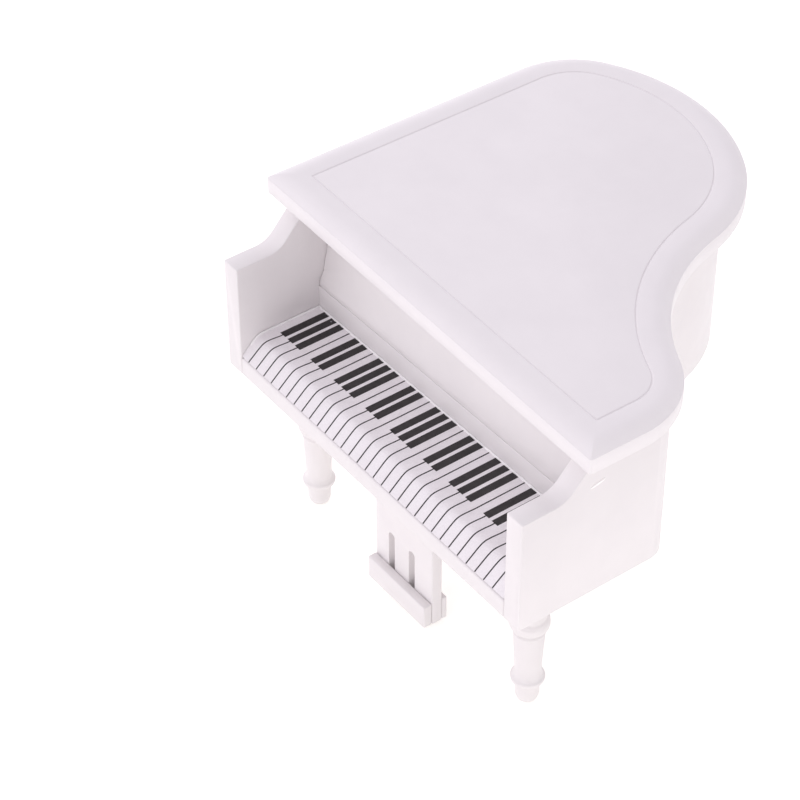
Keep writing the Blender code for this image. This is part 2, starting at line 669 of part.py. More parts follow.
def legs(board, block):
    places = (("front_left", -FRONT_LEG[0], FRONT_LEG[1]), ("front_right", FRONT_LEG[0], FRONT_LEG[1]),
              ("tail", *TAIL_LEG))
    tail_block = box("tail_leg_block", (TAIL_LEG[0] - 6 * MM, at_y(TAIL_LEG[1] - 6 * MM), at_z(FLOOR_BOARD + GAP)),
                     (TAIL_LEG[0] + 6 * MM, at_y(TAIL_LEG[1] + 6 * MM), at_z(FLOOR_BOARD + 6.5 * MM)), RAW_WOOD)
    for word, x, y in places:
        turned = leg("leg_" + word, x, y)
        top = FLOOR_BOARD + 4.6 * MM
        hole = rod("dowel_hole_" + word, (x, at_y(y), at_z(-DOWEL_IN_LEG - GAP)), (x, at_y(y), at_z(top + GAP)),
                   DOWEL_RADIUS + GAP, sides=16)
        for piece in (turned, board, tail_block if word == "tail" else block):
            cut(piece, hole)
        dowel = rod("dowel_" + word, (x, at_y(y), at_z(-DOWEL_IN_LEG)), (x, at_y(y), at_z(top)), DOWEL_RADIUS,
                    RAW_WOOD, 16)
        smooth(dowel)


# ---- pedal lyre -------------------------------------------------------------------------
def pedal_lyre(board, block):
    half = LYRE_WIDTH / 2
    front = at_y(LYRE_Y)
    slab = box("pedal_lyre", (-half, front, at_z(LYRE_BOTTOM_Z)), (half, front + LYRE_THICK, at_z(0)), LACQUER)
    soften(slab, 0.3 * MM, 1)
    for k, x in enumerate(SLOT_XS):
        r = SLOT_WIDTH / 2
        shape = arc((x, at_z(SLOT_TOP_Z) - r), r, 0, 180, 30) + arc((x, at_z(SLOT_BOTTOM_Z) + r), r, 180, 360, 30)
        cut(slab, front_slab(f"lyre_slot_{k}", shape, front - MM, front + LYRE_THICK + MM))
    smooth(slab)
    bars = (("pedal_bar_front", front - GAP - FRONT_BAR_THICK, front - GAP),
            ("pedal_bar_rear", front + LYRE_THICK + GAP, front + LYRE_THICK + GAP + REAR_BAR_THICK))
    for name, near, far in bars:
        bar = box(name, (-half, near, at_z(LYRE_BOTTOM_Z)), (half, far, at_z(BAR_TOP_Z)), LACQUER)
        soften(bar, 0.25 * MM, 1)
        smooth(bar)
    y = front + LYRE_THICK / 2
    for side, word in ((-1, "left"), (1, "right")):
        x = side * 0.3 * LYRE_WIDTH
        low = at_z(-5 * MM)
        high = at_z(FLOOR_BOARD + 3 * MM)
        smooth(rod("lyre_dowel_" + word, (x, y, low), (x, y, high), 0.8 * MM, RAW_WOOD, 12))
        hole = rod("lyre_dowel_hole_" + word, (x, y, low - GAP), (x, y, high + GAP), 0.8 * MM + GAP, sides=12)
        for piece in (slab, board, block):
            cut(piece, hole)


empty_scene()
PARTS, CUTTERS = make_collections()
FALL_HOLES = {side: fall_pin_hole(side) for side in (-1, 1)}
left_board, right_board = side_boards()
curved_rim()
floor_board = bottom_board()
front_slip()
keys = key_block()
key_print()
key_riser()
cross_board = stretcher()
fallboard()
lid_and_hinges(left_board)
prop_stick(cross_board)
interior()
legs(floor_board, keys)
pedal_lyre(floor_board, keys)
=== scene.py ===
"""Miniature (1:12) white grand piano: the looks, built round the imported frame.

Everything is in metres in the frame of the CAD model: the floor is z = 0, the keyboard
faces -Y and the treble side is +X.  Each visible wooden piece is rebuilt here with eased
edges and finer curves; positions come from the CAD nodes that the pieces stand for.
"""
import json
from math import acos, atan2, cos, hypot, pi, radians, sin, sqrt

import bmesh
import bpy
from mathutils import Matrix, Vector


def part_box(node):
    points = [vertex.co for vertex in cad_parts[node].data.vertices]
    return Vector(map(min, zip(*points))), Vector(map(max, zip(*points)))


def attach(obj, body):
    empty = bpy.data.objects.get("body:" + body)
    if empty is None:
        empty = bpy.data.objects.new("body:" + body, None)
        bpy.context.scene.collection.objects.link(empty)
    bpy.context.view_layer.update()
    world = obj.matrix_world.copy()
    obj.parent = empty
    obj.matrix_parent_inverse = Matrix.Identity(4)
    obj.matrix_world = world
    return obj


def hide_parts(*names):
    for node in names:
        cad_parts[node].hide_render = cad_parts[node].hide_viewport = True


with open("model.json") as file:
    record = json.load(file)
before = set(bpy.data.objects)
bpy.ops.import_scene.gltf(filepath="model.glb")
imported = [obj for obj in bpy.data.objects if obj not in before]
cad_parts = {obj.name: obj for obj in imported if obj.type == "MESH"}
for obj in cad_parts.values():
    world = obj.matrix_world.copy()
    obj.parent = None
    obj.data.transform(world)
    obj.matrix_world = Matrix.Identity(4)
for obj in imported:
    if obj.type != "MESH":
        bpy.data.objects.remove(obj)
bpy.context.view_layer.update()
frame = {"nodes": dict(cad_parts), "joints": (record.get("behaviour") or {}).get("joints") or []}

MM = 0.001

# ---- sizes read from the frame
LID_LOW, LID_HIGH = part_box("lid")
LEFT_LOW, LEFT_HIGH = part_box("left_side")
SLIP_LOW, SLIP_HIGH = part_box("front_slip")
PRINT_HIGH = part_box("key_print")[1]
RISER_LOW, RISER_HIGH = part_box("key_riser")
FALL_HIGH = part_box("fallboard")[1]
LYRE_LOW, LYRE_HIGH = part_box("pedal_lyre")
STICK_LOW, STICK_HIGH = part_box("prop_stick")
CARD_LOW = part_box("harp_card")[0]
JOINTS = {joint["name"]: joint for joint in frame["joints"]}

HALF = -LEFT_LOW.x  # half the case's width
INNER = -LEFT_HIGH.x  # inner face of the side boards
FRONT = LEFT_LOW.y  # front edge of the cheeks
BASE = LEFT_LOW.z  # underside of the case
RIM_TOP = LEFT_HIGH.z
SPINE_END = LEFT_HIGH.y
OVERHANG = LID_HIGH.x - HALF

# ---- shape of the plan, close to the arcs of the CAD model
TAIL_ARCS = ((25.9 * MM, 58.4), (58.2 * MM, 63.3), (46.6 * MM, 45.4))
HOLLOW = 57.8 * MM
LID_CORNER = 27.0 * MM
CASE_CORNER = 7.0 * MM
CASE_LAST_TURN = 46.0
BENT_WALL = 4.6 * MM
WALL_EASE = 0.42 * MM  # rounding of the case's arrises
LID_SKEW = radians(-0.8)  # the lid sits a little askew on the case

CHEEK_TOP = BASE + 37.7 * MM
SCROLL_START = FRONT + 10.5 * MM
SCROLL_END = FRONT + 28.0 * MM
SCROLL_SLOPE = radians(48.0)

NOSE = ((0.4, 6.3), (2.3, 8.2), (4.5, 10.3), (6.0, 11.32), (7.8, 11.66), (11.0, 11.7))  # mm y, z
PRINT_SKEW = 0.0165  # the printed paper is glued on a little askew


# ---- mesh helpers
def finish_mesh(name, bm, surface, sharp=35.0):
    """Turn a bmesh into a smooth-shaded object with one material."""
    bmesh.ops.recalc_face_normals(bm, faces=bm.faces)
    mesh = bpy.data.meshes.new(name)
    bm.to_mesh(mesh)
    bm.free()
    mesh.shade_smooth()
    mesh.set_sharp_from_angle(angle=radians(sharp))
    mesh.materials.append(surface)
    obj = bpy.data.objects.new(name, mesh)
    bpy.context.scene.collection.objects.link(obj)
    return obj


def loft(bm, rings):
    """Skin a list of rings of equally many points, and close both ends."""
    loops = [[bm.verts.new(point) for point in ring] for ring in rings]
    count = len(loops[0])
    for lower, upper in zip(loops, loops[1:]):
        for k in range(count):
            nxt = (k + 1) % count
            bm.faces.new((lower[k], lower[nxt], upper[nxt], upper[k]))
    bm.faces.new(loops[0][::-1])
    bm.faces.new(loops[-1])


MITRE_LIMIT = 0.8  # keeps a sharp corner's point from running far in


def inset_outline(points, amount):
    """Move each point of a closed 2-D outline inwards along its mitre."""
    area = sum(a[0] * b[1] - b[0] * a[1] for a, b in zip(points, points[1:] + points[:1]))
    side = 1 if area > 0 else -1
    moved = []
    count = len(points)
    for k, (x, y) in enumerate(points):
        px, py = points[k - 1]
        nx, ny = points[(k + 1) % count]
        ax, ay = x - px, y - py
        bx, by = nx - x, ny - y
        la, lb = hypot(ax, ay), hypot(bx, by)
        n1 = (-ay / la, ax / la)
        n2 = (-by / lb, bx / lb)
        mx, my = n1[0] + n2[0], n1[1] + n2[1]
        scale = amount * side * 2 / max(mx * mx + my * my, MITRE_LIMIT)
        moved.append((x + mx * scale, y + my * scale))
    return moved


def eased_levels(low, high, ease, steps=3):
    """(level, inset) pairs that round both ends of a slab."""
    turn = [k * pi / 2 / steps for k in range(steps + 1)]
    start = [(low + ease * (1 - cos(a)), ease * (1 - sin(a))) for a in turn]
    end = [(high - ease * (1 - cos(a)), ease * (1 - sin(a))) for a in reversed(turn)]
    return start + end


def lofted(name, rings, surface, sharp=35.0):
    bm = bmesh.new()
    loft(bm, rings)
    return finish_mesh(name, bm, surface, sharp)


def slab(name, outline, place, low, high, ease, surface):
    """A flat outline given a thickness, with rounded arrises; place maps (u, v, w) to a point."""
    rings = []
    for level, inset in eased_levels(low, high, ease):
        rings.append([place(u, v, level) for u, v in inset_outline(outline, inset)])
    return lofted(name, rings, surface)


def from_side(y, z, x):
    return (x, y, z)


def from_front(x, z, y):
    return (x, y, z)


def from_top(x, y, z):
    return (x, y, z)


def from_below(y, x, z):
    return (x, y, z)


def box_into(bm, place):
    """Add a unit cube, sized and placed by a matrix."""
    bmesh.ops.create_cube(bm, size=1.0)
    bmesh.ops.transform(bm, matrix=place, verts=bm.verts)


def rounded_box(name, low, high, radius, surface):
    bm = bmesh.new()
    low, high = Vector(low), Vector(high)
    box_into(bm, Matrix.Translation((low + high) / 2) @ Matrix.Diagonal((*(high - low), 1)))
    bmesh.ops.bevel(bm, geom=bm.edges[:], offset=radius, segments=3, profile=0.5, affect="EDGES",
                    clamp_overlap=True)
    return finish_mesh(name, bm, surface)


def circle(sides):
    return [2 * pi * k / sides for k in range(sides)]


def rod_into(bm, start, end, radius, sides, ease=0.0):
    """Add a cylinder with eased ends."""
    start, end = Vector(start), Vector(end)
    along = (end - start).normalized()
    across = along.orthogonal().normalized()
    third = along.cross(across)
    length = (end - start).length
    levels = eased_levels(0.0, length, ease, 2) if ease else [(0.0, 0.0), (length, 0.0)]
    rings = []
    for level, inset in levels:
        centre = start + along * level
        r = radius - inset
        rings.append([centre + (across * cos(a) + third * sin(a)) * r for a in circle(sides)])
    loft(bm, rings)


def rod(name, start, end, radius, sides, surface, ease=0.0):
    bm = bmesh.new()
    rod_into(bm, start, end, radius, sides, ease)
    return finish_mesh(name, bm, surface)


def turned_into(bm, profile, place, sides):
    """Sweep (radius, height) points round an upright axis through place; the ends are closed."""
    place = Vector(place)
    loft(bm, [[place + Vector((r * cos(a), r * sin(a), z)) for a in circle(sides)] for r, z in profile])


def absorb(bm, obj):
    """Take an object's mesh into a bmesh and drop the object."""
    bm.from_mesh(obj.data)
    bpy.data.objects.remove(obj, do_unlink=True)


def subtract(obj, cutter):
    """Cut a hole and apply it, then drop the cutter."""
    modifier = obj.modifiers.new("Cut", "BOOLEAN")
    modifier.solver = "EXACT"
    modifier.object = cutter
    bpy.context.view_layer.update()
    evaluated = obj.evaluated_get(bpy.context.evaluated_depsgraph_get())
    mesh = bpy.data.meshes.new_from_object(evaluated)
    obj.modifiers.clear()
    old = obj.data
    obj.data = mesh
    bpy.data.meshes.remove(old)
    bpy.data.objects.remove(cutter, do_unlink=True)
    obj.data.set_sharp_from_angle(angle=radians(35))


def place_piece(obj, body, slot, *nodes):
    """Make a piece ride on a body and stand for CAD nodes; the slot argument is not used."""
    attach(obj, body)
    if nodes:
        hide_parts(*nodes)
    return obj


def fixed_arc(centre, radius, start, end, count):
    """Points along an arc in count equal steps; angles in degrees."""
    angles = [radians(start + (end - start) * k / count) for k in range(count + 1)]
    return [(centre[0] + radius * cos(a), centre[1] + radius * sin(a)) for a in angles]


def arc(centre, radius, start, end, step):
    """Points along an arc, about step degrees apart."""
    return fixed_arc(centre, radius, start, end, max(2, round(abs(end - start) / step)))


def math_node(tree, operation, first, second):
    """A Math node on a socket and a second socket or number."""
    made = tree.nodes.new("ShaderNodeMath")
    made.operation = operation
    tree.links.new(first, made.inputs[0])
    if isinstance(second, bpy.types.NodeSocket):
        tree.links.new(second, made.inputs[1])
    else:
        made.inputs[1].default_value = second
    return made.outputs[0]


# ---- materials
class Surface:
    """A Principled material whose colour, roughness and bump come from nodes."""

    def __init__(self, name, roughness=0.5, metallic=0.0, **sockets):
        self.material = bpy.data.materials.new(name)
        self.material.use_nodes = True
        self.tree = self.material.node_tree
        self.shader = self.tree.nodes["Principled BSDF"]
        self.shader.inputs["Roughness"].default_value = roughness
        self.shader.inputs["Metallic"].default_value = metallic
        for socket, value in sockets.items():
            self.shader.inputs[socket.replace("_", " ")].default_value = value
        self.place = self.tree.nodes.new("ShaderNodeTexCoord").outputs["Object"]

    def node(self, kind, links=None, **values):
        made = self.tree.nodes.new("ShaderNode" + kind)
        for key, value in values.items():
            socket = key.replace("_", " ")
            if socket in made.inputs:
                made.inputs[socket].default_value = value
            else:
                setattr(made, key, value)
        for key, source in (links or {}).items():
            self.tree.links.new(source, made.inputs[key])
        return made

    def stretched(self, scale):
        return self.node("Mapping", {"Vector": self.place}, Scale=scale).outputs["Vector"]

    def noise(self, scale, detail=3.0, rough=0.5, stretch=None):
        vector = self.stretched(stretch) if stretch else self.place
        made = self.node("TexNoise", {"Vector": vector}, Scale=scale, Detail=detail, Roughness=rough)
        return made.outputs["Fac"]

    def ramp(self, source, *stops):
        made = self.node("ValToRGB", {"Fac": source})
        band = made.color_ramp
        for k, (position, colour) in enumerate(stops):
            element = band.elements[k] if k < 2 else band.elements.new(position)
            element.position = position
            element.color = (*colour, 1.0) if len(colour) == 3 else colour
        return made.outputs["Color"]

    def grey(self, source, low, high, start=0.0, end=1.0):
        """Map a source's start..end to low..high."""
        made = self.node("MapRange", {"Value": source})
        for key, value in zip(("From Min", "From Max", "To Min", "To Max"), (start, end, low, high)):
            made.inputs[key].default_value = value
        return made.outputs["Result"]

    def mix(self, factor, first, second, blend="MIX"):
        made = self.tree.nodes.new("ShaderNodeMix")
        made.data_type = "RGBA"
        made.blend_type = blend
        for socket, value in ((made.inputs[0], factor), (made.inputs[6], first), (made.inputs[7], second)):
            if isinstance(value, bpy.types.NodeSocket):
                self.tree.links.new(value, socket)
            elif isinstance(value, tuple):
                socket.default_value = (*value, 1.0)
            else:
                socket.default_value = value
        return made.outputs[2]

    def colour(self, source):
        self.tree.links.new(source, self.shader.inputs["Base Color"])

    def rough(self, source):
        self.tree.links.new(source, self.shader.inputs["Roughness"])

    def bump(self, *layers):
        """Layers of (height source, strength, distance in metres)."""
        normal = None
        for height, strength, distance in layers:
            made = self.node("Bump", {"Height": height}, Strength=strength, Distance=distance)
            if normal:
                self.tree.links.new(normal, made.inputs["Normal"])
            normal = made.outputs["Normal"]
        self.tree.links.new(normal, self.shader.inputs["Normal"])


def darker(colour, factor):
    return tuple(c * factor for c in colour)


def lacquer(name, light, shade, stretch):
    """Sprayed white lacquer over sanded wood: faint mottle, orange peel and sanding lines, with painted shade
    along sharp edges and in hollows.
    """
    paint = Surface(name, 0.4, Specular_IOR_Level=0.45, Coat_Weight=0.12, Coat_Roughness=0.3)
    mottle = paint.noise(70.0, 4.0, 0.55)
    tone = paint.ramp(mottle, (0.3, shade), (0.7, light))
    edge = paint.node("NewGeometry").outputs["Pointiness"]
    # painted shade: the colour turns darker along sharp convex edges, where the pointiness is high
    painted_edge_shade = paint.grey(edge, 0.0, 0.30, 0.53, 0.62)
    # painted shade: the colour turns darker in hollows and inside corners, where the pointiness is low
    painted_hollow_shade = paint.grey(edge, 0.22, 0.0, 0.40, 0.48)
    tone = paint.mix(painted_edge_shade, tone, darker(shade, 0.86))
    paint.colour(paint.mix(painted_hollow_shade, tone, darker(shade, 0.80)))
    paint.rough(paint.grey(paint.noise(240.0, 3.0), 0.36, 0.52, 0.3, 0.7))
    paint.bump((paint.noise(950.0, 2.0), 0.12, 0.00006),
               (paint.noise(60.0, 2.0), 0.12, 0.0005),
               (paint.noise(90.0, 3.0, 0.6, stretch), 0.10, 0.00008))
    return paint.material


def paper(name, dark, light):
    """Uncoated card: cloudy ground, laid lines and fibres."""
    card = Surface(name, 0.62, Specular_IOR_Level=0.3)
    patch = card.noise(120.0, 3.0)
    ground = card.ramp(patch, (0.32, dark), (0.68, light))
    fibre = card.noise(2600.0, 2.0, 0.7)
    laid = card.node("TexWave", {"Vector": card.place}, Scale=620.0, Distortion=1.5)
    cross = card.node("TexWave", {"Vector": card.place}, Scale=700.0, Distortion=2.0, bands_direction="Y")
    ground = card.mix(card.grey(laid.outputs["Fac"], 0.0, 0.10), ground, darker(dark, 0.86))
    ground = card.mix(card.grey(cross.outputs["Fac"], 0.0, 0.08), ground, darker(dark, 0.86))
    card.colour(card.mix(card.grey(fibre, 0.0, 0.32, 0.35, 0.7), ground, darker(dark, 0.80)))
    card.rough(card.grey(patch, 0.55, 0.7, 0.3, 0.7))
    card.bump((fibre, 0.2, 0.00004), (laid.outputs["Fac"], 0.1, 0.00002))
    return card.material


def ink():
    """Charcoal printing ink with a few pinholes that let the card show."""
    print_ink = Surface("printing_ink", 0.5, Specular_IOR_Level=0.35)
    tone = print_ink.ramp(print_ink.noise(900.0, 3.0, 0.7), (0.3, (0.021, 0.019, 0.019)),
                          (0.7, (0.034, 0.030, 0.031)))
    specks = print_ink.node("TexVoronoi", {"Vector": print_ink.place}, Scale=420.0, Randomness=1.0)
    near = print_ink.grey(specks.outputs["Distance"], 1.0, 0.0, 0.06, 0.12)
    rare = print_ink.node("SeparateColor", {"Color": specks.outputs["Color"]}).outputs["Red"]
    chosen = print_ink.grey(rare, 0.0, 1.0, 0.955, 0.96)
    both = math_node(print_ink.tree, "MULTIPLY", near, chosen)
    print_ink.colour(print_ink.mix(both, tone, (0.34, 0.33, 0.36)))
    print_ink.rough(print_ink.grey(print_ink.noise(500.0), 0.42, 0.6, 0.3, 0.7))
    return print_ink.material


def metal(name, bright, dull, low, high):
    """Plated or rolled metal with fine scratches and a dull bloom."""
    plate = Surface(name, 0.3, 1.0)
    bloom = plate.noise(300.0, 4.0, 0.6)
    plate.colour(plate.ramp(bloom, (0.35, dull), (0.65, bright)))
    scratches = plate.noise(400.0, 2.0, 0.7, (1.0, 12.0, 1.0))
    plate.rough(plate.grey(scratches, low, high, 0.3, 0.7))
    plate.bump((scratches, 0.08, 0.00002))
    return plate.material


def bare_wood(name, pale, dark, grain_axis):
    """Close-grained wood; the grain runs along grain_axis (0, 1 or 2)."""
    wood = Surface(name, 0.6, Specular_IOR_Level=0.3)
    stretch = [14.0, 14.0, 14.0]
    stretch[grain_axis] = 0.8
    grain = wood.noise(60.0, 5.0, 0.65, tuple(stretch))
    rings = wood.ramp(grain, (0.38, dark), (0.62, pale))
    flecks = wood.noise(900.0, 2.0, 0.6, tuple(s / 14.0 for s in stretch))
    wood.colour(wood.mix(wood.grey(flecks, 0.0, 0.3, 0.5, 0.75), rings, darker(dark, 0.75)))
    wood.rough(wood.grey(grain, 0.5, 0.75, 0.3, 0.7))
    wood.bump((grain, 0.3, 0.00012), (flecks, 0.15, 0.00005))
    return wood.material


def gold_paint():
    """Bronze paint on the string plate: granular, with a soft metallic lustre."""
    gold = Surface("gold_paint", 0.42, 0.75)
    flake = gold.noise(3000.0, 2.0, 0.8)
    gold.colour(gold.ramp(flake, (0.3, (0.60, 0.42, 0.15)), (0.7, (0.83, 0.63, 0.28))))
    gold.rough(gold.grey(gold.noise(200.0), 0.34, 0.52, 0.3, 0.7))
    gold.bump((flake, 0.15, 0.00003))
    return gold.material


def felt():
    """Dark red felt with a fuzzy nap."""
    cloth = Surface("red_felt", 0.95, Sheen_Weight=0.4)
    nap = cloth.noise(2200.0, 3.0, 0.8)
    cloth.colour(cloth.ramp(nap, (0.3, (0.22, 0.02, 0.03)), (0.7, (0.42, 0.05, 0.06))))
    cloth.bump((nap, 0.5, 0.0001))
    return cloth.material


def studio_white():
    """Matt seamless paper lit from beneath, with a barely visible tooth."""
    colour = (0.90, 0.89, 0.89)
    sweep = Surface("seamless_paper", 0.9, Specular_IOR_Level=0.1, Emission_Strength=0.34)
    sweep.shader.inputs["Emission Color"].default_value = (1.0, 0.995, 0.91, 1.0)
    tooth = sweep.noise(300.0, 3.0)
    sweep.colour(sweep.ramp(tooth, (0.3, darker(colour, 0.99)), (0.7, colour)))
    return sweep.material


WHITE = lacquer("white_lacquer", (0.80, 0.766, 0.770), (0.772, 0.738, 0.744), (1.0, 14.0, 14.0))
# painted shade: the lid gets a slightly bluer copy of the white lacquer, for the grey-lavender look of its
# top under the light
WHITE_LID_SHADED = lacquer("white_lacquer_lid_painted_shade", (0.795, 0.762, 0.772), (0.772, 0.739, 0.750), (1.0, 14.0, 14.0))
# painted highlight: a lighter copy of the white lacquer, so the filler sliver shows as a bright streak
FILLER_HIGHLIGHT = lacquer("white_filler_painted_highlight", (0.93, 0.90, 0.90), (0.88, 0.85, 0.85), (1.0, 2.0, 2.0))
WHITE_TURNED = lacquer("white_lacquer_turned", (0.79, 0.757, 0.757), (0.765, 0.732, 0.735), (2.0, 2.0, 40.0))
PAPER = paper("printed_paper", (0.80, 0.765, 0.785), (0.845, 0.81, 0.835))
PAPER_EDGE = paper("paper_edge", (0.90, 0.88, 0.885), (0.95, 0.93, 0.93))
INK = ink()
BRASS = metal("brass", (0.80, 0.61, 0.31), (0.71, 0.52, 0.25), 0.24, 0.36)
STEEL = metal("steel_wire", (0.66, 0.66, 0.68), (0.45, 0.45, 0.47), 0.2, 0.38)
COPPER = metal("copper_wire", (0.80, 0.43, 0.27), (0.55, 0.27, 0.16), 0.25, 0.4)
SPRUCE = bare_wood("spruce", (0.70, 0.50, 0.27), (0.52, 0.34, 0.16), 1)
BASSWOOD = bare_wood("basswood", (0.66, 0.50, 0.32), (0.52, 0.37, 0.22), 0)
GOLD = gold_paint()
FELT = felt()


# ---- plan curves
TAIL_STEPS, HOLLOW_STEPS, CORNER_STEPS = 26, 34, 14
SMALLEST_CORNER = 0.2 * MM
LID_FRONT_EASE = 0.9 * MM  # rounding of the lid's two front corners in plan


def treble_curve(half, tail_arcs, hollow, corner, inset):
    """Round the tail and along the bentside, from the end of the spine to the treble corner."""
    x, y = -half, SPINE_END
    heading = 90.0
    points = []
    for radius, turn in tail_arcs:
        cx = x + radius * sin(radians(heading))
        cy = y - radius * cos(radians(heading))
        points += fixed_arc((cx, cy), radius - inset, heading + 90, heading + 90 - turn, TAIL_STEPS)[:-1]
        heading -= turn
        x = cx + radius * cos(radians(heading + 90))
        y = cy + radius * sin(radians(heading + 90))
    hx = x - hollow * sin(radians(heading))
    hy = y + hollow * cos(radians(heading))
    meet = -acos((half - corner - hx) / (hollow + corner)) * 180 / pi
    kx = hx + (hollow + corner) * cos(radians(meet))
    ky = hy + (hollow + corner) * sin(radians(meet))
    points += fixed_arc((hx, hy), hollow + inset, heading - 90, meet, HOLLOW_STEPS)[:-1]
    tight = max(corner - inset, SMALLEST_CORNER)
    return points + fixed_arc((kx, ky), tight, meet + 180, 0, CORNER_STEPS)


def lid_outline(inset):
    """Closed outline of the lid, its two front corners barely eased, turned by its skew."""
    half = HALF + OVERHANG
    return skewed_outline(half, inset, treble_curve(half, TAIL_ARCS, HOLLOW, LID_CORNER, inset))


def groove_outline(inset):
    """The engraved line: parallel to the edge but tighter round the treble corner."""
    half = HALF + OVERHANG
    tail = [(radius - inset, turn) for radius, turn in TAIL_ARCS]
    curve = treble_curve(half - inset, tail, HOLLOW + inset, GROOVE_CORNER, 0.0)
    return skewed_outline(half, inset, curve)


def skewed_outline(half, inset, curve):
    """Close a treble curve along the front, and turn it all by the lid's skew."""
    front = LID_LOW.y + inset
    ease = max(LID_FRONT_EASE - inset, 0.15 * MM)
    left = fixed_arc((-half + inset + ease, front + ease), ease, 270, 180, 3)
    right = fixed_arc((half - inset - ease, front + ease), ease, 360, 270, 3)
    turned = []
    for x, y in left + curve + right:
        depth = y - LID_LOW.y
        turned.append((x * cos(LID_SKEW) - depth * sin(LID_SKEW),
                       LID_LOW.y + x * sin(LID_SKEW) + depth * cos(LID_SKEW)))
    return turned


def case_curve(inset):
    tail = [(radius - OVERHANG, turn) for radius, turn in TAIL_ARCS[:2]]
    tail.append((TAIL_ARCS[2][0] - OVERHANG, CASE_LAST_TURN))
    return treble_curve(HALF, tail, HOLLOW + OVERHANG, CASE_CORNER, inset)


def rim_height(y):
    """Top of a side board at depth y: flat arm, two equal arcs, then the rim."""
    rise = RIM_TOP - CHEEK_TOP
    run = SCROLL_END - SCROLL_START
    radius = (run * sin(SCROLL_SLOPE) - rise * cos(SCROLL_SLOPE)) / (2 * (1 - cos(SCROLL_SLOPE)))
    if y <= SCROLL_START:
        return CHEEK_TOP
    if y >= SCROLL_END:
        return RIM_TOP
    bend = radius * sin(SCROLL_SLOPE)
    if y < SCROLL_START + bend:
        return CHEEK_TOP + radius - sqrt(radius * radius - (y - SCROLL_START) ** 2)
    if y > SCROLL_END - bend:
        return RIM_TOP - radius + sqrt(radius * radius - (SCROLL_END - y) ** 2)
    low = CHEEK_TOP + radius * (1 - cos(SCROLL_SLOPE))
    return low + (y - SCROLL_START - bend) * sin(SCROLL_SLOPE) / cos(SCROLL_SLOPE)


# ---- case
SCROLL_STEP = 0.6 * MM  # between two cross-sections along a scroll
PIN_ROOM = 1.1 * MM  # radius of the room round a fallboard pin
SKEWED_STEPS = 12  # cross-sections along the riser and the fallboard


def wall_section(outer, inner, top, shrink):
    """Rounded cross-section of the wall between two plan points, as points round it."""
    ease = max(WALL_EASE - shrink, 0.06 * MM)
    out, across = Vector((*outer, 0)), Vector((*inner, 0)) - Vector((*outer, 0))
    width = across.length
    unit = across / width
    low_u, high_u = shrink, width - shrink
    low_z, high_z = BASE + shrink, top - shrink
    corners = (((low_u + ease, low_z + ease), 180), ((high_u - ease, low_z + ease), 270),
               ((high_u - ease, high_z - ease), 0), ((low_u + ease, high_z - ease), 90))
    points = []
    for centre, start in corners:
        points += arc(centre, ease, start, start + 90, 30)
    return [out + unit * u + Vector((0, 0, z)) for u, z in points]


def wall_stations():
    """(outer, inner, top, shrink) along the wall from the left cheek round to the right one."""
    ease = WALL_EASE
    ys = [(FRONT + ease * (1 - sin(a)), ease * (1 - cos(a))) for a in (pi / 2, pi / 3, pi / 6, 0.0)]
    y = SCROLL_START - 1 * MM
    while y < SCROLL_END + SCROLL_STEP:
        ys.append((y, 0.0))
        y += SCROLL_STEP
    outer = case_curve(0.0)
    inner = case_curve(BENT_WALL)
    treble = outer[-1][1]
    left = [((-HALF, y), (-INNER, y), rim_height(y), s) for y, s in ys]
    left += [((-HALF, y), (-INNER, y), RIM_TOP, 0.0) for y in (FRONT + 60 * MM, SPINE_END - 1 * MM)]
    bent = [(o, i, RIM_TOP, 0.0) for o, i in zip(outer, inner)]
    right = [((HALF, treble - 0.8 * MM), (INNER, treble - 0.8 * MM), RIM_TOP, 0.0)]
    right += [((HALF, y), (INNER, y), rim_height(y), s) for y, s in reversed(ys) if y < treble - 1.2 * MM]
    return left + bent + right


def case_walls():
    """Both side boards and the bent rim, filled and painted as one, with room for the pins."""
    obj = lofted("case_walls", [wall_section(*station) for station in wall_stations()], WHITE, 40)
    axis = Vector(JOINTS["fallboard_hinge"]["pos_m"])
    for side in (-1, 1):
        start = Vector((side * (INNER - 2 * MM), axis.y, axis.z))
        end = start + Vector((side * 5.4 * MM, 0, 0))
        subtract(obj, rod("pin_room", start, end, PIN_ROOM, 24, WHITE))
    place_piece(obj, "root", "white_lacquer", "left_side", "right_side", "curved_rim")


def filler_mark():
    """A sliver of filler left proud under the paint on the treble cheek; its lighter lacquer is a painted
    highlight.
    """
    middle = Vector((HALF, FRONT + 24.2 * MM, BASE + 38.9 * MM))
    half_length, half_width, proud = 2.6 * MM, 0.5 * MM, 0.3 * MM
    tilt = radians(12)
    along = Vector((0, cos(tilt), sin(tilt)))
    up = Vector((0, -along.z, along.y))
    out = Vector((1, 0, 0))
    count = 16
    rings = []
    for k in range(count + 1):
        t = -1 + 2 * k / count
        swell = sqrt(max(1 - t * t, 0.0004))
        centre = middle + along * t * half_length
        rings.append([centre + up * cos(a) * half_width * swell + out * sin(a) * proud * swell
                      for a in circle(12)])
    place_piece(lofted("filler_mark", rings, FILLER_HIGHLIGHT, 80), "root", "white_lacquer")


def front_slip():
    side = INNER - 0.02 * MM
    low, high = (-side, SLIP_LOW.y, SLIP_LOW.z), (side, SLIP_HIGH.y, SLIP_HIGH.z)
    piece = rounded_box("front_slip_painted", low, high, 0.5 * MM, WHITE)
    place_piece(piece, "root", "white_lacquer", "front_slip")


RISER_LIP = 0.5 * MM  # the lip stands this far above the CAD riser
RISER_ROOM = 0.95 * MM  # and the room behind it is this far below its top


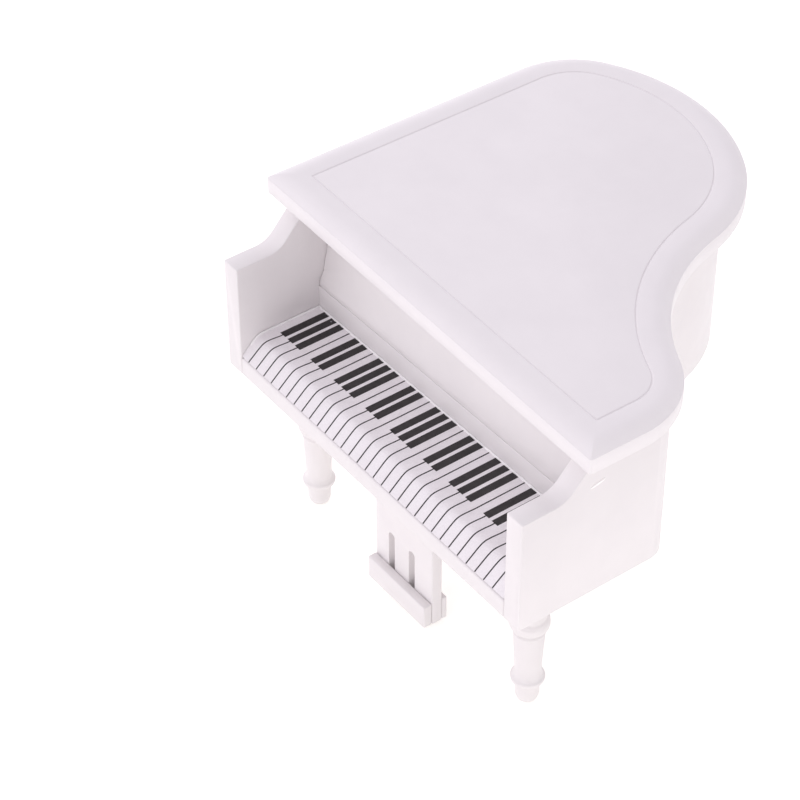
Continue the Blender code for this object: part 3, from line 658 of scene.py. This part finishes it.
def key_riser():
    """Upright band behind the keys: a thin lip in front of the room that the fallboard turns in."""
    front, back = RISER_LOW.y, RISER_HIGH.y
    bottom, room = RISER_LOW.z, RISER_HIGH.z - RISER_ROOM
    lip = RISER_HIGH.z + RISER_LIP
    outline = [(back, bottom), (back, room), (front + 0.5 * MM, room), (front + 0.22 * MM, lip - 0.05 * MM)]
    outline += [(front + 0.13 * MM, lip), (front + 0.04 * MM, lip - 0.06 * MM), (front, lip - 0.2 * MM)]
    outline += [(front, bottom)]
    side = INNER - 0.04 * MM
    rings = []
    for k in range(SKEWED_STEPS + 1):
        x = side * (2 * k / SKEWED_STEPS - 1)
        rings.append([(x, y + (x * PRINT_SKEW if y < back else 0.0), z) for y, z in outline])
    place_piece(lofted("key_riser_painted", rings, WHITE), "root", "white_lacquer", "key_riser")


# ---- keyboard
NOSE_STEPS = 8  # points between two knots of the nose
FLAT_STEP = 1.0 * MM
PAPER_CURL, CURL_RUN = 0.5 * MM, 1.2 * MM  # how far the card turns up at the cheeks
CARD_UNDERSIDE = BASE + 11.4 * MM
SIDE_STEPS, BACK_STEPS = 30, 140  # points along the trimmed edge


def key_surface():
    """Fine (y, z) points along the paper's upper face, from the nose to the riser."""
    knots = [(FRONT + y * MM, BASE + z * MM) for y, z in NOSE]
    points = []
    for k in range(len(knots) - 1):
        four = (knots[max(k - 1, 0)], knots[k], knots[k + 1], knots[min(k + 2, len(knots) - 1)])
        for step in range(NOSE_STEPS):
            points.append(tuple(catmull(*values, step / NOSE_STEPS) for values in zip(*four)))
    y = knots[-1][0]
    while y < PRINT_HIGH.y + FLAT_STEP:
        points.append((y, knots[-1][1]))
        y += FLAT_STEP
    return points


def catmull(a, b, c, d, t):
    """Catmull-Rom spline from b to c."""
    line = 2 * b + (c - a) * t
    return 0.5 * (line + (2 * a - 5 * b + 4 * c - d) * t * t + (3 * b - a - 3 * c + d) * t ** 3)


def surface_at(points, y):
    """Height and slope of the paper at depth y."""
    for (y0, z0), (y1, z1) in zip(points, points[1:]):
        if y0 <= y <= y1:
            t = (y - y0) / (y1 - y0)
            return z0 + (z1 - z0) * t, atan2(z1 - z0, y1 - y0)
    return points[-1][1], 0.0


def lifted(points, x, y, lift):
    """A point above the paper by lift, square to its surface."""
    z, slope = surface_at(points, y)
    return Vector((x, y - sin(slope) * lift, z + cos(slope) * lift))


def border(rows):
    """The outer points of a grid of rows, once round."""
    right = [row[-1] for row in rows[1:]]
    left = [row[0] for row in rows[-2:0:-1]]
    return rows[0] + right + rows[-1][-2::-1] + left


def key_paper(points):
    """Printed card: it turns up a little where it meets the cheeks."""
    bm = bmesh.new()
    side = INNER - 0.12 * MM
    near_cheek = [d * MM for d in (0.0, 0.25, 0.6, 1.2)]
    xs = [d - side for d in near_cheek] + [x * 10 * MM for x in range(-5, 6)]
    xs += [side - d for d in reversed(near_cheek)]
    start = points[0][0]
    back = RISER_LOW.y - 0.1 * MM
    ys = [y for y, z in points if y < back - 1.4 * MM]
    ys += [back - d * MM for d in (1.2, 0.8, 0.45, 0.2, 0.0)]

    def sheet(depth):
        rows = []
        for y in ys:
            row = []
            for x in xs:
                near = max(0.0, 1 - (side - abs(x)) / CURL_RUN)
                shift = x * PRINT_SKEW * (y - start) / (back - start)
                base = lifted(points, x, min(y, points[-1][0]), -depth)
                row.append(bm.verts.new(base + Vector((0, shift, PAPER_CURL * near ** 2))))
            rows.append(row)
        return rows

    top = sheet(0.0)
    under = sheet(PRINT_HIGH.z - CARD_UNDERSIDE)
    for j in range(len(ys) - 1):
        for k in range(len(xs) - 1):
            bm.faces.new((top[j][k], top[j][k + 1], top[j + 1][k + 1], top[j + 1][k]))
            bm.faces.new((under[j][k], under[j + 1][k], under[j + 1][k + 1], under[j][k + 1]))
    high, low = border(top), border(under)
    for k in range(len(high)):
        bm.faces.new((high[k - 1], low[k - 1], low[k], high[k]))
    place_piece(finish_mesh("key_paper", bm, PAPER, 50), "root", "printed_paper", "key_print")


def paper_edge(points):
    """Raw white edge of the card, where it was trimmed by hand and turned up."""
    side = INNER - 0.16 * MM
    nose = points[0][0]
    start, back = nose + 3 * MM, RISER_LOW.y - 0.12 * MM
    route = [(-side, start + (back - start) * k / SIDE_STEPS) for k in range(SIDE_STEPS + 1)]
    route += [(-side + 2 * side * k / BACK_STEPS, back) for k in range(1, BACK_STEPS)]
    route += [(side, back - (back - start) * k / SIDE_STEPS) for k in range(SIDE_STEPS + 1)]
    rings = []
    for k, (x, y) in enumerate(route):
        wander = 0.5 + 0.5 * sin(k * 2.3) * sin(k * 0.83 + 1.0)
        base = lifted(points, x, y, 0.0)
        base.y += x * PRINT_SKEW * (y - nose) / (back - nose)
        inward = Vector((0, -1, 0))
        if k <= SIDE_STEPS:
            inward = Vector((1, 0, 0))
        elif k >= SIDE_STEPS + BACK_STEPS:
            inward = Vector((-1, 0, 0))
        width = inward * (0.28 + 0.14 * wander) * MM
        up = Vector((0, 0, (0.45 + 0.3 * wander) * MM))
        rings.append([base, base + up, base + up + width * 0.55, base + up * 0.55 + width, base + width])
    place_piece(lofted("paper_edge", rings, PAPER_EDGE, 60), "root", "printed_paper")


LINE_START, LINE_PITCH = -60.77 * MM, 3.7266 * MM  # key boundaries at the front edge
WHITE_KEYS = 32
BLACK_WIDTH, LINE_WIDTH = 2.45 * MM, 0.4 * MM
BLACK_FRONT, BLACK_BACK = 12.0 * MM, 28.25 * MM  # depth behind the cheek fronts, at x = 0
INK_LIFT = 0.03 * MM


def is_black(boundary):
    """The lowest key is an F: blacks follow boundaries 1, 2, 3, 5 and 6 of every seven."""
    return (boundary - 1) % 7 in (0, 1, 2, 4, 5)


def flat_x(boundary):
    """Where a boundary line lies on the flat of the keys; blacks crowd towards their group."""
    spread = 59.64 - 3.648 * boundary - 0.00237 * boundary ** 2
    place = (boundary - 1) % 7
    crowd = {0: 0.12, 1: 0.0, 2: -0.12, 4: 0.08, 5: -0.08}.get(place, 0.0)
    return (-spread + crowd) * MM


def ribbon(bm, points, centre_x, width, start, end):
    """A thin strip of ink from depth start to end, following the paper."""
    nose = points[0][0]
    rings = []
    for y in [start] + [y for y, z in points if start < y < end] + [end]:
        skew = PRINT_SKEW * (y - nose) / (RISER_LOW.y - nose)
        ring = []
        for side, lift in ((-1, INK_LIFT), (1, INK_LIFT), (1, -INK_LIFT), (-1, -INK_LIFT)):
            corner = lifted(points, centre_x(y) + side * width / 2, y, lift)
            ring.append(corner + Vector((0, corner.x * skew, 0)))
        rings.append(ring)
    loft(bm, rings)


def key_ink(points):
    """Printed outlines of the white keys, and the black keys."""
    lines, blacks = bmesh.new(), bmesh.new()
    nose = points[0][0]
    flat = FRONT + NOSE[-1][0] * MM
    for boundary in range(1, WHITE_KEYS):
        front_x = LINE_START + LINE_PITCH * boundary
        back_x = flat_x(boundary)

        def centre_x(y):
            t = min(max((y - nose) / (flat - nose), 0.0), 1.0)
            return front_x + (back_x - front_x) * t

        black = is_black(boundary)
        end = FRONT + (BLACK_FRONT + 0.3 * MM if black else BLACK_BACK - 0.45 * MM)
        ribbon(lines, points, centre_x, LINE_WIDTH, nose + 0.05 * MM, end)
        if black:
            ribbon(blacks, points, centre_x, BLACK_WIDTH, FRONT + BLACK_FRONT, FRONT + BLACK_BACK)
    place_piece(finish_mesh("key_lines", lines, INK, 20), "root", "printed_paper")
    place_piece(finish_mesh("black_keys", blacks, INK, 20), "root", "printed_paper")


# ---- fallboard
FALL_LEAN = radians(10.0)
FALL_HALF = 1.7 * MM  # half the board's thickness
FALL_LENGTH = 27.4 * MM  # from the axis to the top edge
FALL_KNUCKLE = 1.9 * MM  # radius of the lower back edge
FALL_ROUND = 0.6 * MM  # rounding of the top edge
FOOT_FORWARD, FOOT_DROP = 1.66 * MM, 2.35 * MM  # from the axis to the foot's front and sole
FOOT_TOP = 2.4 * MM  # the foot's skew dies out this far above the axis
FALL_END_EASE = 0.15 * MM


def fallboard_outline(axis):
    """(y, z) outline: a leaning board on a square foot that turns just clear of the riser's lip."""
    def leaning(y, z):
        return (axis.y + y * cos(FALL_LEAN) + z * sin(FALL_LEAN),
                axis.z - y * sin(FALL_LEAN) + z * cos(FALL_LEAN))

    half, top = FALL_HALF, FALL_LENGTH - FALL_ROUND
    outline = arc((half - FALL_ROUND, top), FALL_ROUND, 0, 90, 22)
    outline += arc((-half + FALL_ROUND, top), FALL_ROUND, 90, 180, 22)
    outline += [(-half, 6.0 * MM), (-half, 2.6 * MM), (-half - 0.02 * MM, 1.0 * MM)]
    points = [leaning(y, z) for y, z in outline]
    front, sole = axis.y - FOOT_FORWARD, axis.z - FOOT_DROP
    points += [(front, axis.z - 0.3 * MM), (front, sole + 0.2 * MM), (front + 0.06 * MM, sole + 0.06 * MM)]
    points += [(front + 0.2 * MM, sole), (front + 0.6 * MM, sole + 0.2 * MM)]
    points += arc((axis.y, axis.z), FALL_KNUCKLE, 265, 365, 12)
    return points + [leaning(half, 2.6 * MM)]


def fallboard():
    """Key cover, leaning back when open; its foot is as askew as the riser's lip before it."""
    axis = Vector(JOINTS["fallboard_hinge"]["pos_m"])
    points = fallboard_outline(axis)
    side = FALL_HIGH.x + 0.15 * MM
    ease = FALL_END_EASE
    ends = [(side - ease * (1 - sin(a)), ease * (1 - cos(a))) for a in (pi / 2, pi / 4, 0.0)]
    stations = [(-x, inset) for x, inset in ends]
    stations += [((side - ease) * (2 * k / SKEWED_STEPS - 1), 0.0) for k in range(1, SKEWED_STEPS)]
    rings = []
    for x, inset in stations + ends[::-1]:
        ring = []
        for y, z in inset_outline(points, inset):
            foot = min(max((axis.z + FOOT_TOP - z) / FOOT_TOP, 0.0), 1.0) if y < axis.y else 0.0
            ring.append((x, y + x * PRINT_SKEW * foot, z))
        rings.append(ring)
    place_piece(lofted("fallboard_painted", rings, WHITE), "fallboard", "white_lacquer", "fallboard")
    for sign, word in ((-1, "left"), (1, "right")):
        start, end = [(sign * x, axis.y, axis.z) for x in (side - 1 * MM, INNER + 2.9 * MM)]
        pin = rod(f"fallboard_pin_{word}_turned", start, end, 0.8 * MM, 24, BRASS, 0.15 * MM)
        place_piece(pin, "fallboard", "brass", f"fallboard_pin_{word}")


# ---- lid
LID_EDGE = 5.0 * MM  # height of the upright edge
SHOULDER_RUN = 5.2 * MM
GROOVE_INSET = 9.3 * MM
GROOVE_CORNER = 11.0 * MM  # the groove turns tighter than the lid's own corner
GROOVE_HALF_WIDTH = 0.28 * MM
GROOVE_DEPTH = 0.26 * MM
GROOVE_SECTION = ((-1.6, 0.0), (-1.0, 0.1), (-0.45, 0.75), (0.0, 1.0), (0.45, 0.75), (1.0, 0.1), (1.6, 0.0))
SHOULDER_STEPS = 8


def lid():
    """Slab with an upright edge, a soft shoulder and a shallow groove parallel to the edge."""
    bottom = LID_LOW.z
    flat = LID_HIGH.z - bottom
    rise = flat - LID_EDGE
    radius = (SHOULDER_RUN ** 2 + rise ** 2) / (2 * rise)
    swing = acos(1 - rise / radius)
    levels = [(0.35 * MM, 0.0), (0.1 * MM, 0.1 * MM), (0.0, 0.35 * MM), (0.0, LID_EDGE * 0.5),
              (0.0, LID_EDGE - 0.2 * MM), (0.06 * MM, LID_EDGE - 0.05 * MM)]
    for k in range(SHOULDER_STEPS + 1):
        a = swing * (1 - k / SHOULDER_STEPS)
        levels.append((0.2 * MM + SHOULDER_RUN - radius * sin(a), flat - radius * (1 - cos(a))))
    rings = [lid_ring(lid_outline(inset), bottom + z) for inset, z in levels]
    for offset, depth in GROOVE_SECTION:
        ring = groove_outline(GROOVE_INSET + offset * GROOVE_HALF_WIDTH)
        rings.append(lid_ring(ring, LID_HIGH.z - GROOVE_DEPTH * depth))
    place_piece(lofted("lid_painted", rings, WHITE_LID_SHADED, 30), "lid", "white_lacquer", "lid")


def lid_ring(outline, height):
    return [(x, y, height) for x, y in outline]


# ---- hinges
HEAD_RADIUS, HEAD_HEIGHT = 0.84 * MM, 0.42 * MM  # of a screw
KNUCKLE_RADIUS = 1.2 * MM
KNUCKLE_GAP = 0.15 * MM  # half the gap between two knuckles
LEAF = 0.5 * MM  # thickness of a leaf
LEAF_REACH = 0.2 * MM  # how far short of the axis a leaf ends, inside its knuckles
LEAF_ROOM = KNUCKLE_RADIUS + 0.3 * MM  # how far it keeps off the other leaf's knuckles
HINGE_PIN = 0.5 * MM


def round_head_screws(name, places, along, body, nodes):
    """Brass round-head screws with driver slots, each turned differently."""
    bm = bmesh.new()
    for turn, place in enumerate(places):
        profile = [(0.35 * MM, -2.4 * MM), (0.38 * MM, -0.05 * MM), (HEAD_RADIUS, 0.0)]
        profile += [(HEAD_RADIUS * cos(a), HEAD_HEIGHT * sin(a)) for a in (0.35, 0.7, 1.05, 1.3)]
        head = bmesh.new()
        turned_into(head, profile, (0, 0, 0), 24)
        screw = finish_mesh("head", head, BRASS)
        cutter = bmesh.new()
        angle = Matrix.Rotation(radians(25 + 55 * turn), 4, "Z")
        size = Matrix.Diagonal((2.2 * MM, 0.2 * MM, 0.36 * MM, 1))
        box_into(cutter, Matrix.Translation((0, 0, 0.44 * MM)) @ angle @ size)
        subtract(screw, finish_mesh("slot", cutter, BRASS))
        aim = along.to_track_quat("Z", "Y").to_matrix().to_4x4()
        screw.data.transform(Matrix.Translation(place) @ aim)
        absorb(bm, screw)
    place_piece(finish_mesh(name, bm, BRASS, 30), body, "brass", *nodes)


def hinge(word):
    """Rolled brass butt hinge: two leaves with three knuckles between them, a pin, four screws."""
    axis = Vector(JOINTS["lid_hinge"]["pos_m"])
    low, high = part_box(f"hinge_{word}_case_leaf")
    front, back = low.y, high.y
    third = (back - front) / 3
    outer = ((front, front + third - KNUCKLE_GAP), (back - third + KNUCKLE_GAP, back))
    middle = ((front + third + KNUCKLE_GAP, back - third - KNUCKLE_GAP),)
    hinge_leaf(word, "case", "root", axis, (front, back), outer, middle)
    hinge_leaf(word, "lid", "lid", axis, (front, back), middle, outer)
    start, end = [(axis.x, y, axis.z) for y in (front - 0.4 * MM, back + 0.4 * MM)]
    pin = rod(f"hinge_{word}_pin_drawn", start, end, HINGE_PIN, 24, BRASS, 0.15 * MM)
    place_piece(pin, "root", "brass", f"hinge_{word}_pin")
    hinge_screws(word, "case", "root", Vector((-1, 0, 0)))
    hinge_screws(word, "lid", "lid", Vector((0, 0, -1)))


def hinge_leaf(word, side, body, axis, ends, spans, others):
    """A plate with its own knuckles, cut back where the other leaf's knuckles turn."""
    low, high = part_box(f"hinge_{word}_{side}_leaf")
    bm = bmesh.new()
    for start, end in spans:
        rod_into(bm, (axis.x, start, axis.z), (axis.x, end, axis.z), KNUCKLE_RADIUS, 32, 0.12 * MM)
    knuckles = finish_mesh("knuckles", bm, BRASS)
    if side == "case":
        outline = tongue_outline(*ends, low.z, axis.z - LEAF_REACH, others)
        plate = slab("plate", outline, from_side, high.x - LEAF, high.x, 0.1 * MM, BRASS)
    else:
        outline = tongue_outline(*ends, low.x, axis.x + LEAF_REACH, others)
        plate = slab("plate", outline, from_below, high.z - LEAF, high.z, 0.1 * MM, BRASS)
    bm = bmesh.new()
    absorb(bm, knuckles)
    absorb(bm, plate)
    piece = finish_mesh(f"hinge_{word}_{side}_leaf_rolled", bm, BRASS)
    place_piece(piece, body, "brass", f"hinge_{word}_{side}_leaf")


def hinge_screws(word, side, body, along):
    """The two screws of a leaf, their heads just clear of it."""
    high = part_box(f"hinge_{word}_{side}_leaf")[1]
    names = [f"hinge_{word}_{side}_leaf_screw_{k}" for k in (1, 2)]
    places = []
    for name in names:
        place = sum(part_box(name), Vector((0, 0, 0))) / 2
        if side == "case":
            place.x = high.x - LEAF - 0.02 * MM
        else:
            place.z = high.z - LEAF - 0.02 * MM
        places.append(place)
    round_head_screws(f"hinge_{word}_{side}_screws", places, along, body, names)


def tongue_outline(front, back, far, near, gaps):
    """Leaf outline (y, v) with its near edge cut back where the other leaf's knuckles turn."""
    clear = near - LEAF_ROOM if far < near else near + LEAF_ROOM
    points = [(front, far), (back, far), (back, near)]
    for start, end in reversed(gaps):
        low, high = max(start - KNUCKLE_GAP, front), min(end + KNUCKLE_GAP, back)
        points += [(high, near), (high, clear), (low, clear), (low, near)]
    points.append((front, near))
    kept = []
    for point in points:
        if not kept or apart(point, kept[-1]):
            kept.append(point)
    return kept if apart(kept[0], kept[-1]) else kept[:-1]


def apart(first, second):
    return abs(first[0] - second[0]) + abs(first[1] - second[1]) > 0.05 * MM


# ---- legs
LEG_TOP, LEG_FOOT, LEG_STEP = 0.3, 51.1, 0.2  # mm below the case
LEG_KNOTS = ((0.3, 5.3), (3.6, 5.3), (4.4, 4.5), (16.0, 4.5), (18.6, 4.7), (19.6, 5.3), (22.6, 5.3),
             (23.1, 4.5), (23.7, 4.2), (24.2, 4.3), (25.2, 4.35), (39.4, 3.8), (40.4, 3.9), (42.3, 4.6),
             (43.4, 4.5), (44.3, 3.6), (46.3, 3.45), (49.0, 3.35), (50.4, 3.0), (51.0, 2.3), (51.1, 2.0))
LEG_BEADS = ((1.9, 1.5, 0.25), (21.1, 1.4, 0.35), (24.6, 0.45, 0.3), (42.6, 0.9, 0.3))


def bump_at(z, middle, half, height):
    """A rounded bead of the given half width and height, zero outside it."""
    t = (z - middle) / half
    return height * sqrt(1 - t * t) if abs(t) < 1 else 0.0


def leg_radius(z):
    """Turned radius, in mm, at z mm below the case."""
    for (z0, r0), (z1, r1) in zip(LEG_KNOTS, LEG_KNOTS[1:]):
        if z <= z1:
            t = (z - z0) / (z1 - z0)
            base = r0 + (r1 - r0) * t * t * (3 - 2 * t)
            break
    return base + sum(bump_at(z, *bead) for bead in LEG_BEADS)


def leg(node):
    low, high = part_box(node)
    place = Vector(((low.x + high.x) / 2, (low.y + high.y) / 2, BASE))
    count = round((LEG_FOOT - LEG_TOP) / LEG_STEP)
    depths = [LEG_TOP + k * LEG_STEP for k in range(count + 1)]
    bm = bmesh.new()
    turned_into(bm, [(leg_radius(z) * MM, -z * MM) for z in depths], place, 64)
    place_piece(finish_mesh(node + "_turned", bm, WHITE_TURNED, 50), "root", "white_lacquer", node)


# ---- pedal lyre
SLOT_XS = (-5.7 * MM, 3.7 * MM)
SLOT_RADIUS = 1.4 * MM
SLOT_TOP, SLOT_FOOT = BASE - 28.2 * MM, BASE - 46.6 * MM
BAR_GAP = 0.28 * MM  # the bars reach this far on towards the board


def pedal_lyre():
    """Slotted board with a bar across its foot, in front and behind."""
    half = LYRE_HIGH.x
    outline = [(-half, LYRE_LOW.z), (half, LYRE_LOW.z), (half, LYRE_HIGH.z), (-half, LYRE_HIGH.z)]
    board = slab("pedal_lyre_board", outline, from_front, LYRE_LOW.y, LYRE_HIGH.y, 0.45 * MM, WHITE)
    for x in SLOT_XS:
        shape = arc((x, SLOT_TOP - SLOT_RADIUS), SLOT_RADIUS, 0, 180, 12)
        shape += arc((x, SLOT_FOOT + SLOT_RADIUS), SLOT_RADIUS, 180, 360, 12)
        rings = [[(u, y, v) for u, v in shape] for y in (LYRE_LOW.y - MM, LYRE_HIGH.y + MM)]
        subtract(board, lofted("slot_room", rings, WHITE))
    place_piece(board, "root", "white_lacquer", "pedal_lyre")
    front_low, front_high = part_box("pedal_bar_front")
    front_high.y += BAR_GAP
    rear_low, rear_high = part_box("pedal_bar_rear")
    rear_low.y -= BAR_GAP
    for node, low, high, ease in (("pedal_bar_front", front_low, front_high, 0.45 * MM),
                                  ("pedal_bar_rear", rear_low, rear_high, 0.35 * MM)):
        place_piece(rounded_box(node + "_painted", low, high, ease, WHITE), "root", "white_lacquer", node)


# ---- inside
PLATE_FLOOR = CARD_LOW.z
PLATE_FRONT = CARD_LOW.y
PLATE_SIDE = INNER - 3.4 * MM
PLATE_GAP = 3.0 * MM  # between the plate and the bent wall
STRUT_XS = (-41.0, -17.5, 5.0, 27.0)  # mm
STRUT_HALF = 0.9  # mm
STRING_PITCH = 1.75  # mm
STRING_MARGIN = 4  # mm from the plate's side to the first string
BASS_RADIUS, TREBLE_RADIUS = 0.14 * MM, 0.09 * MM


def curve_y(points, x):
    """Depth of a plan curve at x, where it first passes it."""
    found = [y0 + (y1 - y0) * (x - x0) / (x1 - x0)
             for (x0, y0), (x1, y1) in zip(points, points[1:]) if x0 < x <= x1]
    return found[0]


def string_plate(wall):
    """Gold-painted plate; wall is the plan curve that it keeps inside."""
    back = [(x, y) for x, y in wall if -PLATE_SIDE < x < PLATE_SIDE]
    outline = [(-PLATE_SIDE, PLATE_FRONT), (-PLATE_SIDE, SPINE_END)] + back + [(PLATE_SIDE, PLATE_FRONT)]
    plate = slab("string_plate", outline, from_top, PLATE_FLOOR, PLATE_FLOOR + 0.8 * MM, 0.25 * MM, GOLD)
    place_piece(plate, "root", "gold_card", "harp_card")


def plate_struts(wall):
    """Struts from the pin block to the tail, low at both ends."""
    floor, front = PLATE_FLOOR, PLATE_FRONT
    bm = bmesh.new()
    for x in STRUT_XS:
        far = curve_y(wall, x * MM) - 2.5 * MM
        left, right = (x - STRUT_HALF) * MM, (x + STRUT_HALF) * MM
        rings = []
        for y, lift in ((front + 6 * MM, 0.2), (front + 9 * MM, 1.9), ((front + far) / 2, 1.9),
                        (far - 3 * MM, 1.9), (far, 0.2)):
            top = floor + (0.7 + lift) * MM
            rings.append([(left, y, floor + 0.5 * MM), (left, y, top - 0.2 * MM), ((x - 0.6) * MM, y, top),
                          ((x + 0.6) * MM, y, top), (right, y, top - 0.2 * MM), (right, y, floor + 0.5 * MM)])
        loft(bm, rings)
    place_piece(finish_mesh("plate_struts", bm, GOLD, 30), "root", "gold_card")


def strings(wall):
    """Strings from the tuning pins to the hitch pins; the lowest quarter are copper-wound."""
    floor = PLATE_FLOOR
    steel, copper, pins = bmesh.new(), bmesh.new(), bmesh.new()
    count = int(2 * (PLATE_SIDE / MM - STRING_MARGIN) / STRING_PITCH)
    for k in range(count + 1):
        x = (-PLATE_SIDE / MM + STRING_MARGIN + k * STRING_PITCH) * MM
        near = PLATE_FRONT + (3.2 + 1.6 * (k % 2)) * MM
        end = curve_y(wall, x) - 4.5 * MM
        if end - near < 4 * MM:
            continue
        bass = k < count // 4
        rod_into(copper if bass else steel, (x, near, floor + 2.1 * MM), (x, end, floor + 1.3 * MM),
                 BASS_RADIUS if bass else TREBLE_RADIUS, 8)
        foot = floor + 0.5 * MM
        pin_x = x + 0.1 * MM
        rod_into(pins, (pin_x, near, foot), (pin_x, near, floor + 2.9 * MM), 0.28 * MM, 10, 0.06 * MM)
        rod_into(pins, (x, end, foot), (x, end, floor + 1.6 * MM), 0.2 * MM, 8, 0.05 * MM)
    for name, bm, surface in (("treble_strings", steel, STEEL), ("bass_strings", copper, COPPER),
                              ("tuning_pins", pins, STEEL)):
        place_piece(finish_mesh(name, bm, surface), "root", "gold_card")


def felt_and_bridge(wall):
    """Felt under the strings at the front, and the bridge along the bentside."""
    floor, front, side = PLATE_FLOOR, PLATE_FRONT, PLATE_SIDE
    low = (-side + 3 * MM, front + 8.4 * MM, floor + 0.7 * MM)
    high = (side - 3 * MM, front + 10.6 * MM, floor + 1.75 * MM)
    place_piece(rounded_box("string_felt", low, high, 0.4 * MM, FELT), "root", "gold_card")
    line = [(x, y - 9 * MM) for x, y in wall if -side + 8 * MM < x < side - 12 * MM]
    ring = line + [(x, y - 1.0 * MM) for x, y in line][::-1]
    bridge = slab("string_bridge", ring, from_top, floor + 0.7 * MM, floor + 1.5 * MM, 0.15 * MM, BASSWOOD)
    place_piece(bridge, "root", "raw_wood")


def prop_stick():
    """Flat lacquered stick with round ends and eased edges."""
    half = (STICK_HIGH.z - STICK_LOW.z) / 2
    z = (STICK_HIGH.z + STICK_LOW.z) / 2
    x0, x1 = STICK_LOW.x + half, STICK_HIGH.x - half
    outline = arc((x1, z), half, -90, 90, 12) + arc((x0, z), half, 90, 270, 12)
    stick = slab("prop_stick_painted", outline, from_front, STICK_LOW.y, STICK_HIGH.y, 0.35 * MM, WHITE)
    start, end = (x0, STICK_LOW.y - MM, z), (x0, STICK_HIGH.y + MM, z)
    subtract(stick, rod("screw_room", start, end, 0.8 * MM, 20, WHITE))
    place_piece(stick, "prop", "white_lacquer", "prop_stick")


# ---- CAD nodes that stay
def finish_cad_nodes():
    """Materials for the CAD nodes that are shown as they are."""
    for name, obj in frame["nodes"].items():
        surface = WHITE
        if name == "soundboard":
            surface = SPRUCE
        elif name.startswith(("prop_screw", "prop_rest", "hinge", "fallboard_pin")):
            surface = BRASS
        elif name.startswith(("liner", "dowel", "lyre_dowel", "tail_leg_block")):
            surface = BASSWOOD
        obj.data.materials.clear()
        obj.data.materials.append(surface)


# ---- studio
def camera():
    """Long lens from above the treble front corner."""
    azimuth, elevation, roll = radians(53.81), radians(41.66), radians(-0.39)
    back = Vector((sin(azimuth) * cos(elevation), -cos(azimuth) * cos(elevation), sin(elevation)))
    level = Vector((cos(azimuth), sin(azimuth), 0.0))
    rise = back.cross(level)
    right = level * cos(roll) + rise * sin(roll)
    up = rise * cos(roll) - level * sin(roll)
    data = bpy.data.cameras.new("camera")
    data.sensor_width = 36.0
    data.lens = 122.9
    data.shift_x = 0.0141
    data.shift_y = 0.0140
    data.clip_start = 0.01
    obj = bpy.data.objects.new("camera", data)
    spot = Vector((440.2, -383.2, 561.0)) * MM
    turn = Matrix((right, up, back)).transposed().to_4x4()
    obj.matrix_world = Matrix.Translation(spot) @ turn
    bpy.context.scene.collection.objects.link(obj)
    bpy.context.scene.camera = obj


def area_light(name, place, target, size, power, colour):
    data = bpy.data.lights.new(name, "AREA")
    data.shape = "RECTANGLE"
    data.size, data.size_y = size
    data.energy = power
    data.color = colour
    obj = bpy.data.objects.new(name, data)
    obj.location = place
    obj.rotation_euler = (Vector(place) - Vector(target)).to_track_quat("Z", "Y").to_euler()
    bpy.context.scene.collection.objects.link(obj)


ROOM_LEVEL = 1.035  # brightness of the white room overhead
TREBLE_DIMMING = 0.75  # it is dimmer towards the treble side
BASS_GAIN = 0.55  # and brighter towards the bass side
FRONT_GAIN = 0.12  # and a little brighter in front


def room_light():
    """White surroundings whose brightness changes with the direction."""
    world = bpy.data.worlds.new("studio")
    bpy.context.scene.world = world
    world.use_nodes = True
    tree = world.node_tree
    background = tree.nodes["Background"]
    background.inputs["Color"].default_value = (0.972, 0.943, 1.0, 1.0)
    aim = tree.nodes.new("ShaderNodeSeparateXYZ")
    tree.links.new(tree.nodes.new("ShaderNodeTexCoord").outputs["Generated"], aim.inputs[0])
    treble = math_node(tree, "MAXIMUM", aim.outputs["X"], 0.0)
    bass = math_node(tree, "MAXIMUM", math_node(tree, "MULTIPLY", aim.outputs["X"], -1.0), 0.0)
    dimmed = math_node(tree, "MULTIPLY", math_node(tree, "POWER", treble, 2.0), -TREBLE_DIMMING)
    raised = math_node(tree, "MULTIPLY", math_node(tree, "POWER", bass, 2.0), BASS_GAIN)
    front = math_node(tree, "MULTIPLY", aim.outputs["Y"], -FRONT_GAIN)
    sides = math_node(tree, "ADD", math_node(tree, "ADD", dimmed, raised), front)
    tree.links.new(math_node(tree, "ADD", sides, ROOM_LEVEL), background.inputs["Strength"])


def studio():
    """White sweep floor, white room light and two soft boxes low down."""
    bpy.context.scene.view_settings.view_transform = "Standard"
    room_light()
    bm = bmesh.new()
    bmesh.ops.create_grid(bm, x_segments=8, y_segments=8, size=3.0)
    finish_mesh("floor", bm, studio_white())
    middle = (0.0, 0.0, 0.06)
    area_light("key_softbox", (0.55, -0.75, 0.32), middle, (0.7, 0.5), 0.8, (1.0, 0.97, 0.955))
    area_light("side_softbox", (0.9, 0.1, 0.07), middle, (0.6, 0.12), 1.35, (1.0, 0.985, 0.955))


camera()
studio()
case_walls()
filler_mark()
front_slip()
key_riser()
PAPER_LINE = key_surface()
key_paper(PAPER_LINE)
paper_edge(PAPER_LINE)
key_ink(PAPER_LINE)
fallboard()
lid()
for hinge_word in ("front", "rear"):
    hinge(hinge_word)
for leg_node in ("leg_front_left", "leg_front_right", "leg_tail"):
    leg(leg_node)
pedal_lyre()
PLATE_WALL = case_curve(BENT_WALL + PLATE_GAP)
string_plate(PLATE_WALL)
plate_struts(PLATE_WALL)
strings(PLATE_WALL)
felt_and_bridge(PLATE_WALL)
prop_stick()
finish_cad_nodes()
